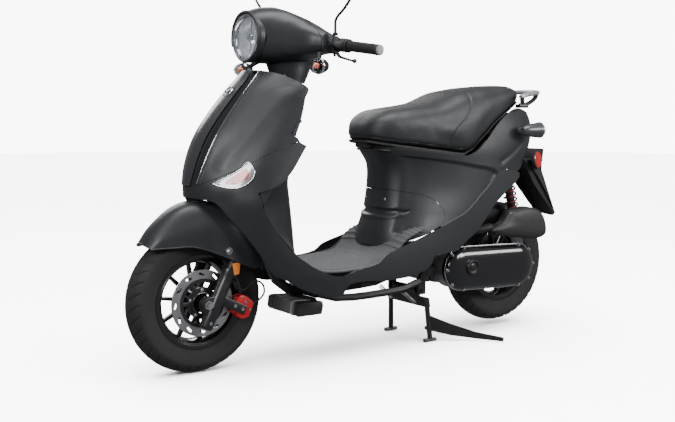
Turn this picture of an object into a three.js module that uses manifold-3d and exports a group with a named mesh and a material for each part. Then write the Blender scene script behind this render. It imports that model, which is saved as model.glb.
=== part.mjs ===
// A step-through moped scooter standing on its centre stand, in millimetres.
// +X is forward, +Y is the rider's left, +Z is up, and the ground is at Z = 0.
import * as THREE from 'three';
import { mergeVertices } from 'three/addons/utils/BufferGeometryUtils.js';
import Module from 'manifold-3d';

// ---------------------------------------------------------------- driving dimensions
const GAP = 0.3; // clearance between touching neighbours
const SHELL = 3; // wall of the moulded panels
const CUT = 300; // half the width that a side-view cut passes through

const TYRE_RADIUS = 216;
const TYRE_HALF_WIDTH = 45;
const BEAD_RADIUS = 129;
const FLANGE_RADIUS = 142;
const WHEEL_SEGMENTS = 22;
const SPOKE_COUNT = 10;

const WHEELBASE = 1215;
const FRONT_AXLE = { x: 651, z: TYRE_RADIUS };
const REAR_LIFT = 15; // the stand holds the rear tyre clear of the ground
const REAR_AXLE = { x: FRONT_AXLE.x - WHEELBASE, z: TYRE_RADIUS + REAR_LIFT };

const RAKE = THREE.MathUtils.degToRad(26.5);
const STEER_FOOT_X = 731; // where the steering axis meets the ground
const FORK_LEG_Y = 85;
const FORK_TUBE_RADIUS = 14.3;
const SLIDER_BORE = 15;
const AXLE_OFFSET = 24.8; // the axle leads the fork legs
const AXLE_HEIGHT = 229; // along the steering axis
const CROWN_HEIGHT = 530;
const CALIPER_OUTER_Y = 80;
const HEAD_TUBE_FROM = 640;
const HEAD_TUBE_TO = 880;

const BAR_RADIUS = 11;
const GRIP_INNER = [222, 195, 973.5]; // left grip, inner end of the straight
const GRIP_OUTER = [200, 325, 956];
const BAR_CENTRE = [245, 0, 985];
const BAR_KNEE = [240, 90, 983];

const MIRROR_FOOT = [262, 182, 1003];
const MIRROR_CENTRE = [255, 338, 1212];
const MIRROR_HEAD_RADIUS = 50;
const MIRROR_STEM_RADIUS = 4.5;

const SWING_PIVOT = { x: -200, z: 215 };
const STAND_PIVOT = { x: -161, z: 172 };
const RAIL_Y = 80;
const RAIL_RADIUS = 13;
const SHOCK_TOP = [-548, 80, 545];
const SHOCK_FOOT = [-604, 80, 318];

// ---------------------------------------------------------------- materials
const finish = (color, roughness, metalness = 0) => ({ color, roughness, metalness });
const BODY_MATTE = finish('#2d2f33', 0.62);
const GLOSS_BLACK = finish('#101113', 0.2);
const BLACK_PLASTIC = finish('#17181a', 0.6);
const MAT_GREY = finish('#4d4f52', 0.85);
const FRAME_BLACK = finish('#121314', 0.45, 0.3);
const RUBBER = finish('#141414', 0.9);
const STEEL = finish('#a9abad', 0.35, 1);
const CHROME = finish('#d8dadc', 0.12, 1);
const ALLOY = finish('#8d8f92', 0.45, 0.9);
const VINYL = finish('#232527', 0.7);
const CLEAR = finish('#dfe3e6', 0.1);
const AMBER = finish('#d9772b', 0.3);
const RED = finish('#b8201c', 0.35);

// ---------------------------------------------------------------- solids
const wasm = await Module();
wasm.setup();

// Merges shared vertices, drops collapsed triangles and turns the faces outward.
function closed(geometry) {
  const plain = geometry.clone();
  plain.deleteAttribute('normal');
  plain.deleteAttribute('uv');
  const merged = mergeVertices(plain, 1e-3);
  const p = merged.attributes.position.array;
  const source = merged.index.array;
  const kept = [];
  let volume = 0;
  for (let i = 0; i < source.length; i += 3) {
    const [a, b, c] = [source[i], source[i + 1], source[i + 2]];
    if (a === b || b === c || c === a) continue;
    kept.push(a, b, c);
    const [ax, ay, az] = [p[3 * a], p[3 * a + 1], p[3 * a + 2]];
    const [bx, by, bz] = [p[3 * b], p[3 * b + 1], p[3 * b + 2]];
    const [cx, cy, cz] = [p[3 * c], p[3 * c + 1], p[3 * c + 2]];
    volume += ax * (by * cz - bz * cy) + ay * (bz * cx - bx * cz) + az * (bx * cy - by * cx);
  }
  if (volume < 0) kept.reverse();
  const result = new THREE.BufferGeometry();
  result.setAttribute('position', merged.attributes.position.clone());
  result.setIndex(kept);
  return result;
}

function toSolid(geometry) {
  const g = closed(geometry);
  const vertProperties = new Float32Array(g.attributes.position.array);
  const triVerts = new Uint32Array(g.index.array);
  return new wasm.Manifold(new wasm.Mesh({ numProp: 3, vertProperties, triVerts }));
}

function toGeometry(solid) {
  const mesh = solid.getMesh();
  const geometry = new THREE.BufferGeometry();
  geometry.setAttribute('position', new THREE.BufferAttribute(mesh.vertProperties, 3));
  geometry.setIndex(new THREE.BufferAttribute(mesh.triVerts, 1));
  return geometry;
}

function join(...geometries) {
  return toGeometry(geometries.map(toSolid).reduce((sum, next) => sum.add(next)));
}

function cut(geometry, ...cutters) {
  return toGeometry(cutters.map(toSolid).reduce((rest, next) => rest.subtract(next), toSolid(geometry)));
}

function common(geometry, other) {
  return toGeometry(toSolid(geometry).intersect(toSolid(other)));
}

function mirrored(geometry) {
  return closed(geometry.clone().scale(1, -1, 1));
}

// Turns a piece drawn about a vertical steering axis onto the raked one.
function raked(geometry) {
  return closed(geometry.clone().rotateY(-RAKE).translate(STEER_FOOT_X, 0, 0));
}

// ---------------------------------------------------------------- shapes
function box(x0, x1, y0, y1, z0, z1) {
  const geometry = new THREE.BoxGeometry(x1 - x0, y1 - y0, z1 - z0);
  return geometry.translate((x0 + x1) / 2, (y0 + y1) / 2, (z0 + z1) / 2);
}

function rod(from, to, radius, sides = 10, endRadius = radius) {
  const a = new THREE.Vector3(...from);
  const b = new THREE.Vector3(...to);
  const geometry = new THREE.CylinderGeometry(endRadius, radius, a.distanceTo(b), sides);
  const turn = new THREE.Quaternion();
  turn.setFromUnitVectors(new THREE.Vector3(0, 1, 0), b.clone().sub(a).normalize());
  return geometry.applyQuaternion(turn).translate(...a.add(b).multiplyScalar(0.5).toArray());
}

function ball(centre, radius, scale = [1, 1, 1]) {
  return new THREE.SphereGeometry(radius, 10, 7).scale(...scale).translate(...centre);
}

function pipe(points, radius, sides = 8, steps = 2 * points.length) {
  const path = new THREE.CatmullRomCurve3(points.map((p) => new THREE.Vector3(...p)), false, 'centripetal');
  const section = new THREE.Shape();
  for (let i = 0; i < sides; i++) {
    const angle = (2 * Math.PI * i) / sides;
    const corner = [radius * Math.cos(angle), radius * Math.sin(angle)];
    if (i === 0) section.moveTo(...corner);
    else section.lineTo(...corner);
  }
  return new THREE.ExtrudeGeometry(section, { steps, extrudePath: path, bevelEnabled: false });
}

// A side-view outline of [x, z] points, given width from y0 to y1.
function prism(outline, y0, y1, smooth = 0) {
  let points = outline.map(([x, z]) => new THREE.Vector2(x, z));
  if (smooth) points = new THREE.SplineCurve([...points, points[0]]).getPoints(smooth).slice(0, -1);
  const shape = new THREE.Shape(points);
  const geometry = new THREE.ExtrudeGeometry(shape, { depth: y1 - y0, bevelEnabled: false });
  return geometry.rotateX(Math.PI / 2).translate(0, y1, 0);
}

// A closed [radius, y] profile turned about the Y axis through (x, z).
function turned(profile, centre, segments = WHEEL_SEGMENTS) {
  const points = profile.map(([r, y]) => new THREE.Vector2(r, y));
  return new THREE.LatheGeometry(points, segments).translate(centre.x, 0, centre.z);
}

const loopProfile = (profile) => [...profile, profile[0]];

// A solid through closed loops of equally many [x, y, z] points, capped flat at both ends.
function loft(loops) {
  const count = loops[0].length;
  const vertices = loops.flat();
  const faces = [];
  for (let i = 0; i < loops.length - 1; i++) {
    for (let j = 0; j < count; j++) {
      const [a, b] = [i * count + j, i * count + ((j + 1) % count)];
      faces.push(a, b, b + count, a, b + count, a + count);
    }
  }
  [0, loops.length - 1].forEach((i) => {
    const centre = loops[i].reduce((sum, p) => sum.map((v, k) => v + p[k] / count), [0, 0, 0]);
    vertices.push(centre);
    for (let j = 0; j < count; j++) {
      const [a, b] = [i * count + j, i * count + ((j + 1) % count)];
      faces.push(...(i === 0 ? [b, a] : [a, b]), vertices.length - 1);
    }
  });
  return meshOf(vertices, faces);
}

function meshOf(vertices, faces) {
  const geometry = new THREE.BufferGeometry();
  geometry.setAttribute('position', new THREE.Float32BufferAttribute(vertices.flat(), 3));
  geometry.setIndex(faces);
  return geometry;
}

// Smooths rows of [x, y, z] points with Catmull-Rom curves along both directions.
function smoothGrid(rows, perRow, perColumn) {
  const along = (line, steps) => {
    const curve = new THREE.CatmullRomCurve3(line, false, 'centripetal');
    return Array.from({ length: steps + 1 }, (_, k) => {
      const u = (k / steps) * (line.length - 1);
      return curve.getPoint(u / (line.length - 1));
    });
  };
  const wide = rows.map((row) => along(row.map((p) => new THREE.Vector3(...p)), perRow));
  const columns = wide[0].map((_, j) => along(wide.map((row) => row[j]), perColumn));
  return columns[0].map((_, i) => columns.map((column) => column[i]));
}

// The same grid moved along its surface normals.
function offsetGrid(grid, distance) {
  const [m, n] = [grid.length, grid[0].length];
  const at = (i, j) => grid[Math.min(Math.max(i, 0), m - 1)][Math.min(Math.max(j, 0), n - 1)];
  return grid.map((row, i) => row.map((p, j) => {
    const u = at(i + 1, j).clone().sub(at(i - 1, j));
    const v = at(i, j + 1).clone().sub(at(i, j - 1));
    return p.clone().addScaledVector(u.cross(v).normalize(), distance);
  }));
}

// A wall of even thickness on one side of a surface grid, closed round its rim.
function sheet(grid, thickness = SHELL) {
  const [m, n] = [grid.length, grid[0].length];
  const outer = grid.flat().map((p) => p.toArray());
  const inner = offsetGrid(grid, thickness).flat().map((p) => p.toArray());
  const faces = [];
  const quad = (a, b, c, d) => faces.push(a, b, c, a, c, d);
  const back = m * n;
  for (let i = 0; i < m - 1; i++) {
    for (let j = 0; j < n - 1; j++) {
      const a = i * n + j;
      quad(a, a + 1, a + n + 1, a + n);
      quad(back + a, back + a + n, back + a + n + 1, back + a + 1);
    }
  }
  const rim = [];
  for (let j = 0; j < n - 1; j++) rim.push(j);
  for (let i = 0; i < m - 1; i++) rim.push(i * n + n - 1);
  for (let j = n - 1; j > 0; j--) rim.push((m - 1) * n + j);
  for (let i = m - 1; i > 0; i--) rim.push(i * n);
  rim.forEach((a, k) => {
    const b = rim[(k + 1) % rim.length];
    quad(a, a + back, b + back, b);
  });
  return meshOf([...outer, ...inner], faces);
}

// Rows given for the left half, centre line first, are repeated on the right.
function symmetric(rows) {
  return rows.map((row) => {
    const right = row.filter((p) => p[1] > 0).map(([x, y, z]) => [x, -y, z]).reverse();
    return [...right, ...row];
  });
}

// ---------------------------------------------------------------- nodes
const scooter = new THREE.Group();

function node(name, geometry, look) {
  const mesh = new THREE.Mesh(closed(geometry), new THREE.MeshStandardMaterial(look));
  mesh.name = name;
  scooter.add(mesh);
}

// ---------------------------------------------------------------- wheels
function tyre(centre) {
  const profile = [
    [BEAD_RADIUS + GAP, 32], [160, 42], [188, TYRE_HALF_WIDTH], [206, 33], [TYRE_RADIUS, 0],
    [206, -33], [188, -TYRE_HALF_WIDTH], [160, -42], [BEAD_RADIUS + GAP, -32],
    [BEAD_RADIUS + GAP, -25], [190, -33], [202, 0], [190, 33], [BEAD_RADIUS + GAP, 25],
  ];
  return turned(loopProfile(profile), centre);
}

function rim(centre, hubBore, hubFrom, hubTo) {
  const barrel = [
    [FLANGE_RADIUS, 40.5], [FLANGE_RADIUS, 37.7], [BEAD_RADIUS, 33.5], [BEAD_RADIUS, -33.5],
    [FLANGE_RADIUS, -37.7], [FLANGE_RADIUS, -40.5], [122, -36], [112, 0], [122, 36],
  ];
  const hub = [[hubBore, hubFrom], [28, hubFrom], [34, 0], [28, hubTo], [hubBore, hubTo]];
  const spokes = [];
  for (let k = 0; k < SPOKE_COUNT; k++) {
    const spoke = box(28, 116, -9, 9, -4.5, 4.5).rotateY((2 * Math.PI * k) / SPOKE_COUNT + 0.16);
    spokes.push(spoke.translate(centre.x, 0, centre.z));
  }
  return join(turned(loopProfile(barrel), centre), turned(loopProfile(hub), centre, 14), ...spokes);
}

function brakeDisc() {
  const profile = [[30, 49], [60, 50.5], [100, 50.5], [100, 54.5], [30, 54.5]];
  return turned(loopProfile(profile), FRONT_AXLE);
}

node('front_tyre', tyre(FRONT_AXLE), RUBBER);
node('front_rim', rim(FRONT_AXLE, 9, -48, 48), GLOSS_BLACK);
node('brake_disc', brakeDisc(), STEEL);
node('rear_tyre', tyre(REAR_AXLE), RUBBER);
node('rear_rim', rim(REAR_AXLE, 9.5, -44, 48), GLOSS_BLACK);

// ---------------------------------------------------------------- front fork
// Drawn upright about the steering axis: u forward of it, w along it from the ground.
function forkSliders() {
  const [bottom, top] = [164, 350];
  const legs = [1, -1].map((side) => {
    const y = side * FORK_LEG_Y;
    const leg = rod([0, y, bottom], [0, y, top], 20, 14);
    const lug = join(
      rod([AXLE_OFFSET, y - 13, AXLE_HEIGHT], [AXLE_OFFSET, y + 13, AXLE_HEIGHT], 20, 14),
      box(0, AXLE_OFFSET, y - 11, y + 11, AXLE_HEIGHT - 34, AXLE_HEIGHT + 30),
    );
    return cut(join(leg, lug), rod([0, y, 188], [0, y, top + 5], SLIDER_BORE, 14));
  });
  const nut = rod([AXLE_OFFSET, 95, AXLE_HEIGHT], [AXLE_OFFSET, 112, AXLE_HEIGHT], 11, 6);
  const axle = rod([AXLE_OFFSET, -112, AXLE_HEIGHT], [AXLE_OFFSET, 100, AXLE_HEIGHT], 8, 10);
  const caliperLug = box(-104, -17, CALIPER_OUTER_Y + GAP, CALIPER_OUTER_Y + 9, 244, 272);
  return raked(join(...legs, axle, nut, caliperLug));
}

function steeringStem() {
  const crown = box(-26, 24, -FORK_LEG_Y, FORK_LEG_Y, CROWN_HEIGHT, CROWN_HEIGHT + 26);
  const tubes = [1, -1].map((side) => {
    const y = side * FORK_LEG_Y;
    return join(
      rod([0, y, 252], [0, y, CROWN_HEIGHT + 40], FORK_TUBE_RADIUS, 14),
      rod([0, y, CROWN_HEIGHT], [0, y, CROWN_HEIGHT + 26], 23, 14),
    );
  });
  const lowerRace = rod([0, 0, CROWN_HEIGHT], [0, 0, HEAD_TUBE_FROM - 4], 24, 14);
  const stem = rod([0, 0, CROWN_HEIGHT], [0, 0, 1062], 14, 12);
  return raked(join(crown, ...tubes, lowerRace, stem));
}

function caliper() {
  const body = prism([[-124, 236], [-96, 228], [-62, 232], [-60, 292], [-84, 304], [-126, 296]],
    44, CALIPER_OUTER_Y);
  const slot = box(-77, -20, 48.8, 56.2, 190, 320);
  return raked(cut(body, slot));
}

node('steering_stem', steeringStem(), FRAME_BLACK);
node('fork_sliders', forkSliders(), BLACK_PLASTIC);
node('brake_caliper', caliper(), RED);

// Rows run from the front tip to the tail; each holds crown, shoulder, side and lower edge.
function fender() {
  const rows = [
    [[822, 0, 400], [819, 24, 397], [812, 42, 391], [806, 50, 386]],
    [[795, 0, 437], [792, 30, 431], [783, 54, 412], [779, 60, 388]],
    [[757, 0, 472], [753, 36, 464], [741, 62, 432], [737, 67, 388]],
    [[715, 0, 500], [711, 40, 491], [700, 68, 445], [692, 72, 388]],
    [[672, 0, 514], [668, 44, 504], [655, 75, 455], [640, 82, 374]],
    [[618, 0, 515], [612, 48, 505], [605, 88, 450], [597, 106, 355]],
    [[566, 0, 500], [560, 50, 490], [552, 96, 440], [552, 110, 334]],
    [[517, 0, 468], [511, 50, 460], [505, 92, 405], [508, 104, 316]],
    [[466, 0, 424], [461, 44, 417], [458, 70, 375], [464, 78, 310]],
    [[440, 0, 392], [438, 44, 386], [444, 60, 350], [452, 66, 300]],
  ];
  const skin = sheet(smoothGrid(symmetric(rows), 10, 11), SHELL);
  const mount = raked(box(-24, 22, -30, 30, CROWN_HEIGHT - 20, CROWN_HEIGHT - GAP));
  return cut(join(skin, mount), ...[1, -1].map((side) => {
    const y = side * FORK_LEG_Y;
    return raked(rod([0, y, 340], [0, y, CROWN_HEIGHT + 30], FORK_TUBE_RADIUS + 9, 8));
  }));
}

node('fender', fender(), BODY_MATTE);

// ---------------------------------------------------------------- handlebar
const flip = ([x, y, z]) => [x, -y, z];
const gripAxis = new THREE.Vector3(...GRIP_OUTER).sub(new THREE.Vector3(...GRIP_INNER)).normalize();
const alongGrip = (mm) => new THREE.Vector3(...GRIP_INNER).addScaledVector(gripAxis, mm).toArray();

const LEVER_PIN = new THREE.Vector3(264, 176, 955);
const LEVER_AXIS = new THREE.Vector3(0.446, 0.19, 0.874).normalize();
const alongLeverPin = (mm) => LEVER_PIN.clone().addScaledVector(LEVER_AXIS, mm).toArray();
const alongButton = (mm) => [197 + mm, 177, 980]; // the thumb buttons face the rider

function handlebar() {
  const half = (side) => {
    const place = side > 0 ? (p) => p : flip;
    return [
      pipe([BAR_CENTRE, BAR_KNEE, GRIP_INNER, alongGrip(6)].map(place), BAR_RADIUS, 8, 5),
      rod(place(alongGrip(-1)), place(alongGrip(124)), BAR_RADIUS, 8),
    ];
  };
  const clamp = raked(rod([0, 0, 1064], [0, 0, 1104], 15, 8));
  return join(...half(1), ...half(-1), clamp);
}

function grip(from, to) {
  const sleeve = join(rod(alongGrip(from), alongGrip(to), 16.5, 16), rod(alongGrip(to - 2),
    alongGrip(to + 8), 15, 16));
  return cut(sleeve, rod(alongGrip(from - 2), alongGrip(124.6), BAR_RADIUS + 1));
}

function control() {
  const housing = join(
    rod(alongGrip(-34), alongGrip(2), 21, 12),
    box(222, 276, 161, 194, 966, 988),
    rod(alongLeverPin(-14), alongLeverPin(16), 4, 8),
    rod([262, 182, 980], [262, 182, 1002], 9, 8),
  );
  const bore = join(
    rod(alongGrip(-60), alongGrip(8), BAR_RADIUS + 1.4),
    rod(BAR_KNEE, GRIP_INNER, BAR_RADIUS + 1.4),
  );
  return cut(housing, bore, rod(alongButton(-10), alongButton(15.3), 6.4, 8));
}

function brakeLever() {
  const blade = loft([
    [[255, 168, 950], [273, 168, 950], [273, 168, 959], [255, 168, 959]],
    [[256, 186, 949], [274, 186, 949], [274, 186, 958], [256, 186, 958]],
    [[262, 204, 944], [276, 204, 944], [276, 204, 953], [262, 204, 953]],
    [[272, 225, 936], [284, 225, 936], [284, 225, 944], [272, 225, 944]],
    [[275, 262, 928], [284, 262, 928], [284, 262, 935], [275, 262, 935]],
    [[272, 298, 921], [279, 298, 921], [279, 298, 927], [272, 298, 927]],
  ]);
  return cut(join(blade, ball([275.5, 300, 924], 7)), rod(alongLeverPin(-20), alongLeverPin(20), 4.6, 8));
}

const button = () => rod(alongButton(0), alongButton(12), 5.8, 8);

function mirror() {
  const knee = [[262, 182, 1040], [261, 190, 1056]];
  const stem = pipe([MIRROR_FOOT, ...knee, [258, 222, 1080], [255, 290, 1140], [254, 322, 1180]],
    MIRROR_STEM_RADIUS, 6, 9);
  const head = ball([0, 0, 0], MIRROR_HEAD_RADIUS, [0.24, 1,
    0.84]).rotateX(0.25).translate(...MIRROR_CENTRE);
  const nutTop = [MIRROR_FOOT[0], MIRROR_FOOT[1], MIRROR_FOOT[2] + 11];
  return join(stem, head, rod(MIRROR_FOOT, nutTop, 8, 6));
}

node('handlebar', handlebar(), FRAME_BLACK);
node('left_grip', grip(6, 126), RUBBER);
node('throttle_grip', mirrored(grip(6, 126)), RUBBER);
node('control_left', control(), BLACK_PLASTIC);
node('control_right', mirrored(control()), BLACK_PLASTIC);
node('brake_lever_left', brakeLever(), BLACK_PLASTIC);
node('brake_lever_right', mirrored(brakeLever()), BLACK_PLASTIC);
node('horn_button', button(), AMBER);
node('start_button', mirrored(button()), AMBER);
node('mirror_left', mirror(), BLACK_PLASTIC);
node('mirror_right', mirrored(mirror()), BLACK_PLASTIC);

// ---------------------------------------------------------------- headlight nacelle
const LAMP = { x: 462, z: 1000, tilt: 0.06 };
const NACELLE_SPLIT_X = 296;

// Each station gives y, the rear and front x, and the lowest and highest z of its section.
const NACELLE_STATIONS = [
  [0, 212, 494, 921, 1095], [34, 211, 488, 924, 1091], [62, 209, 466, 931, 1080], [88, 207, 414, 942, 1058],
  [108, 207, 358, 948, 1040], [132, 208, 318, 951, 1027], [158, 212, 296, 953, 1014],
];

function nacelleLoop([y, rear, front, low, high], wall) {
  const cx = (rear + front) / 2;
  const cz = (low + high) / 2;
  const [a, b] = [(front - rear) / 2 - wall, (high - low) / 2 - wall];
  return Array.from({ length: 10 }, (_, k) => {
    const t = (2 * Math.PI * k) / 10;
    const square = (v) => Math.sign(v) * Math.abs(v) ** 0.72;
    const x = cx + a * square(Math.cos(t));
    const behind = Math.min(Math.max((cx + 20 - x) / a, 0), 1);
    const rise = b * square(Math.sin(t));
    return [x, y, cz + rise * (rise > 0 ? 1 - 0.48 * behind : 1)];
  });
}

function nacelleBody(wall) {
  const left = NACELLE_STATIONS.map((station) => nacelleLoop(station, wall));
  const right = left.slice(1).reverse().map((loop) => loop.map(flip));
  const end = left.at(-1).map(([x, y, z]) => [x, y + 2 * wall, z]);
  const loops = wall ? [end.map(flip), ...right, ...left, end] : [...right, ...left];
  return loft(loops);
}

function neckBody(wall) {
  const levels = [[975, 315, 98, 66], [930, 312, 80, 52], [895, 312, 66, 50], [864, 314, 52, 48]];
  return loft(levels.map(([z, cx, a, b], i) => Array.from({ length: 10 }, (_, k) => {
    const t = (2 * Math.PI * k) / 10;
    const drop = wall && i === 3 ? 6 : 0;
    return [cx + (a - wall) * Math.cos(t), (b - wall) * Math.sin(t), z - drop];
  })));
}

function nacelleShell() {
  const outside = join(nacelleBody(0), neckBody(0));
  const inside = join(nacelleBody(SHELL), neckBody(SHELL));
  const lampHole = new THREE.CylinderGeometry(78, 78, 90, 18).rotateZ(-Math.PI / 2)
    .scale(1, 1, 0.95).rotateY(-LAMP.tilt).translate(LAMP.x + 20, 0, LAMP.z);
  const barHoles = [1, -1].map((side) => rod([240, side * 120, 979], [226, side * 175, 974.6],
    BAR_RADIUS + 3, 10));
  return cut(outside, inside, lampHole, ...barHoles);
}

function lampPart(profile) {
  return turned(profile, { x: 0, z: 0 }, 16).rotateZ(-Math.PI / 2)
    .scale(1, 1, 0.93).rotateY(-LAMP.tilt).translate(LAMP.x, 0, LAMP.z);
}

const lens = () => lampPart(loopProfile([
  [0, 27], [30, 25], [54, 17], [70, 4], [75.5, -5], [75.5, -8],
  [71, -8], [67, 1], [52, 12], [28, 20], [0, 22],
]).slice(0, -1));
const bowl = () => lampPart([
  [0, -70], [36, -64], [58, -40], [69, -9], [66, -9], [55, -38], [33, -60], [0, -66],
]);

const nacelle = nacelleShell();
node('nacelle_front', common(nacelle, box(NACELLE_SPLIT_X + GAP, 600, -300, 300, 800, 1200)), BODY_MATTE);
node('nacelle_rear', common(nacelle, box(100, NACELLE_SPLIT_X - GAP, -300, 300, 800, 1200)), BODY_MATTE);
node('headlight_lens', lens(), CLEAR);
node('headlight_bowl', bowl(), CHROME);

const BAR_SIGNAL = [348, 222, 911];
function barSignal() {
  const [x, y, z] = BAR_SIGNAL;
  const pod = join(ball([x + 4, y, z], 24, [1.3, 1, 1]), rod([x - 26, y, z], [x, y, z], 14, 12, 22));
  return join(pod, rod([x - 18, y - 8, z + 8], [300, 150, 954], 8, 8));
}
const nacelleOutside = join(nacelleBody(-GAP), neckBody(0));
const signalLeft = cut(barSignal(), nacelleOutside);
node('bar_signal_left', signalLeft, CHROME);
node('bar_signal_right', mirrored(signalLeft), CHROME);

// ---------------------------------------------------------------- frame
function headTube() {
  return raked(rod([0, 0, HEAD_TUBE_FROM], [0, 0, HEAD_TUBE_TO], 26, 14));
}

function downTube(radius) {
  return pipe([[412, 0, 632], [392, 0, 572], [390, 0, 500], [398, 0, 420], [400, 0, 360], [386, 0, 300],
    [360, 0, 246],
    [315, 0, 214], [262, 0, 206]], radius, 6, 9);
}

function frameMain() {
  const cross = rod([262, -RAIL_Y, 206], [262, RAIL_Y, 206], 14, 8);
  const sides = [1, -1].flatMap((side) => {
    const y = side * RAIL_Y;
    const rail = pipe([[262, y, 206], [225, y, 192], [150, y, 182], [0, y, 182], [-110, y, 190],
      [-158, y, 208],
      [-186, y + side * 6, 260], [-212, y + side * 18, 360], [-236, y + side * 22, 470]],
        RAIL_RADIUS, 6, 10);
    const plate = box(STAND_PIVOT.x - 15, STAND_PIVOT.x + 15, y - 5, y + 5, 160, 206);
    const swingLug = box(SWING_PIVOT.x - 14, -168, y - 5, y + 5, SWING_PIVOT.z - 14, 250);
    return [rail, plate, swingLug];
  });
  const pins = [STAND_PIVOT, SWING_PIVOT].map(({ x, z }) => rod([x, -90, z], [x, 90, z], 8, 10));
  const body = join(headTube(), downTube(17), cross, ...sides, ...pins);
  return cut(body, raked(rod([0, 0, HEAD_TUBE_FROM - 5], [0, 0, HEAD_TUBE_TO + 5], 21, 14)));
}

function frameRear() {
  const sides = [1, -1].map((side) => {
    const y = side * 102;
    return pipe([[-237, y, 484], [-262, y, 560], [-330, y, 596], [-430, y, 640], [-520, side * 92, 700],
      [-610, side * 72, 716]], 12, 8, 9);
  });
  const crossTubes = [[-378, 616, 102], [-606, 715, 74]].map(([x, z, y]) => rod([x, -y, z], [x, y, z],
    9, 8));
  const shockLug = box(-562, -534, 58, 102, 574, 700);
  const shockEye = rod([SHOCK_TOP[0], 57, SHOCK_TOP[2]], [SHOCK_TOP[0], 103, SHOCK_TOP[2]], 8, 8);
  const cheeks = [56, 98].map((y) => box(-562, -534, y, y + 6, 532, 580));
  return join(...sides, ...crossTubes, shockLug, ...cheeks, shockEye);
}

node('frame_main', frameMain(), FRAME_BLACK);
node('frame_rear', frameRear(), FRAME_BLACK);

// ---------------------------------------------------------------- front bodywork
// Rows run from the top edge to the sill; each goes from the centre line to the side.
const FRONT_ROWS = [
  [[440, 0, 916], [432, 42, 915], [405, 88, 912], [372, 125, 905], [330, 156, 896], [280, 172, 890],
    [225, 180, 885]],
  [[483, 0, 874], [474, 42, 874], [447, 85, 874], [408, 122, 872], [362, 154, 868], [305, 174, 864],
    [250, 184, 860]],
  [[518, 0, 840], [508, 42, 840], [480, 84, 840], [436, 123, 840], [384, 158, 838], [325, 178, 836],
    [270, 188, 834]],
  [[572, 0, 780], [560, 42, 780], [526, 84, 780], [474, 125, 780], [420, 162, 780], [355, 184, 780],
    [300, 192, 780]],
  [[622, 0, 714], [608, 42, 714], [570, 84, 714], [516, 126, 714], [462, 165, 714], [400, 188, 714],
    [340, 196, 714]],
  [[649, 0, 660], [635, 42, 660], [598, 84, 660], [548, 128, 660], [498, 168, 660], [432, 190, 660],
    [370, 198, 660]],
  [[667, 0, 604], [654, 42, 604], [624, 84, 604], [582, 126, 604], [536, 166, 604], [470, 191, 604],
    [410, 199, 604]],
  [[674, 0, 558], [662, 42, 558], [638, 84, 558], [602, 124, 558], [560, 160, 558], [502, 191, 558],
    [440, 199, 558]],
  [[668, 0, 516], [659, 42, 516], [638, 84, 516], [606, 120, 516], [574, 154, 516], [520, 190, 516],
    [460, 199, 516]],
  [[650, 0, 468], [644, 42, 468], [630, 84, 468], [602, 120, 468], [568, 154, 468], [520, 186, 468],
    [450, 197, 468]],
  [[636, 0, 420], [630, 42, 420], [614, 84, 420], [586, 124, 420], [552, 160, 420], [500, 187, 420],
    [420, 197, 420]],
  [[612, 0, 360], [606, 42, 360], [590, 90, 360], [560, 134, 360], [520, 168, 360], [460, 190, 360],
    [360, 196, 360]],
  [[580, 0, 300], [572, 50, 300], [550, 104, 300], [516, 146, 300], [468, 176, 300], [400, 190, 300],
    [280, 193, 300]],
  [[540, 0, 250], [530, 60, 250], [500, 120, 250], [452, 158, 250], [390, 180, 250], [300, 188, 250],
    [200, 190, 250]],
  [[500, 0, 205], [490, 60, 205], [450, 125, 205], [390, 162, 205], [320, 178, 205], [250, 183, 205],
    [150, 184, 205]],
];

// The upper edge of the eye-lens seam, from the nose back to the knee notch.
const SEAM = [[700, 553], [664, 562], [627, 583], [563, 616], [514, 643], [472, 663], [430, 682],
  [396, 690]];
const APRON_REAR = [[374, 677], [396, 645], [424, 606], [452, 578], [480, 561], [531, 545], [522, 508],
  [499, 457],
  [467, 416], [417, 361], [348, 313], [306, 292], [263, 277], [233, 276]];
const APRON_FRONT = [[233, 217], [285, 215], [323, 224], [381, 247], [425, 273], [480, 302], [519, 361],
  [563, 424],
  [596, 470], [628, 515], [652, 523], [700, 527]];

const frontGrid = smoothGrid(symmetric(FRONT_ROWS), 14, 17);
const frontSkin = sheet(frontGrid, -SHELL);

const shifted = (points, dx, dz) => points.map(([x, z]) => [x + dx, z + dz]);

function frontPanel() {
  const eye = eyeCutter(1);
  const outline = [...shifted(SEAM, 0, GAP), [400, 700], [420, 714], [402, 742], [380, 779], [363, 818],
    [349, 845],
    [372, 866], [395, 880], [420, 893], [470, 906], [560, 912], [720, 880]];
  return cut(common(frontSkin, prism(outline, -CUT, CUT)), eye, mirrored(eye));
}

function apron() {
  const outline = [...shifted(SEAM, 0, -GAP), ...APRON_REAR, ...APRON_FRONT];
  const eye = eyeCutter(1);
  return cut(common(frontSkin, prism(outline, -CUT, CUT)), eye, mirrored(eye));
}

// The almond outline of the lens in side view, between the nose and the knee notch.
const EYE_OUTLINE = [[632, 571], [612, 583], [584, 602], [560, 620], [545, 634], [535, 620], [535, 596],
  [552, 572], [580, 558], [610, 560]];

function eyeCutter(grow) {
  const [cx, cz] = [566, 588];
  const outline = EYE_OUTLINE.map(([x, z]) => {
    const scale = 1 + (grow * 5 * GAP) / Math.hypot(x - cx, z - cz);
    return [cx + (x - cx) * scale, cz + (z - cz) * scale];
  });
  return prism(outline, 60, 260, 20);
}

function eyeLens() {
  return common(frontSkin, eyeCutter(-1));
}

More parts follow.
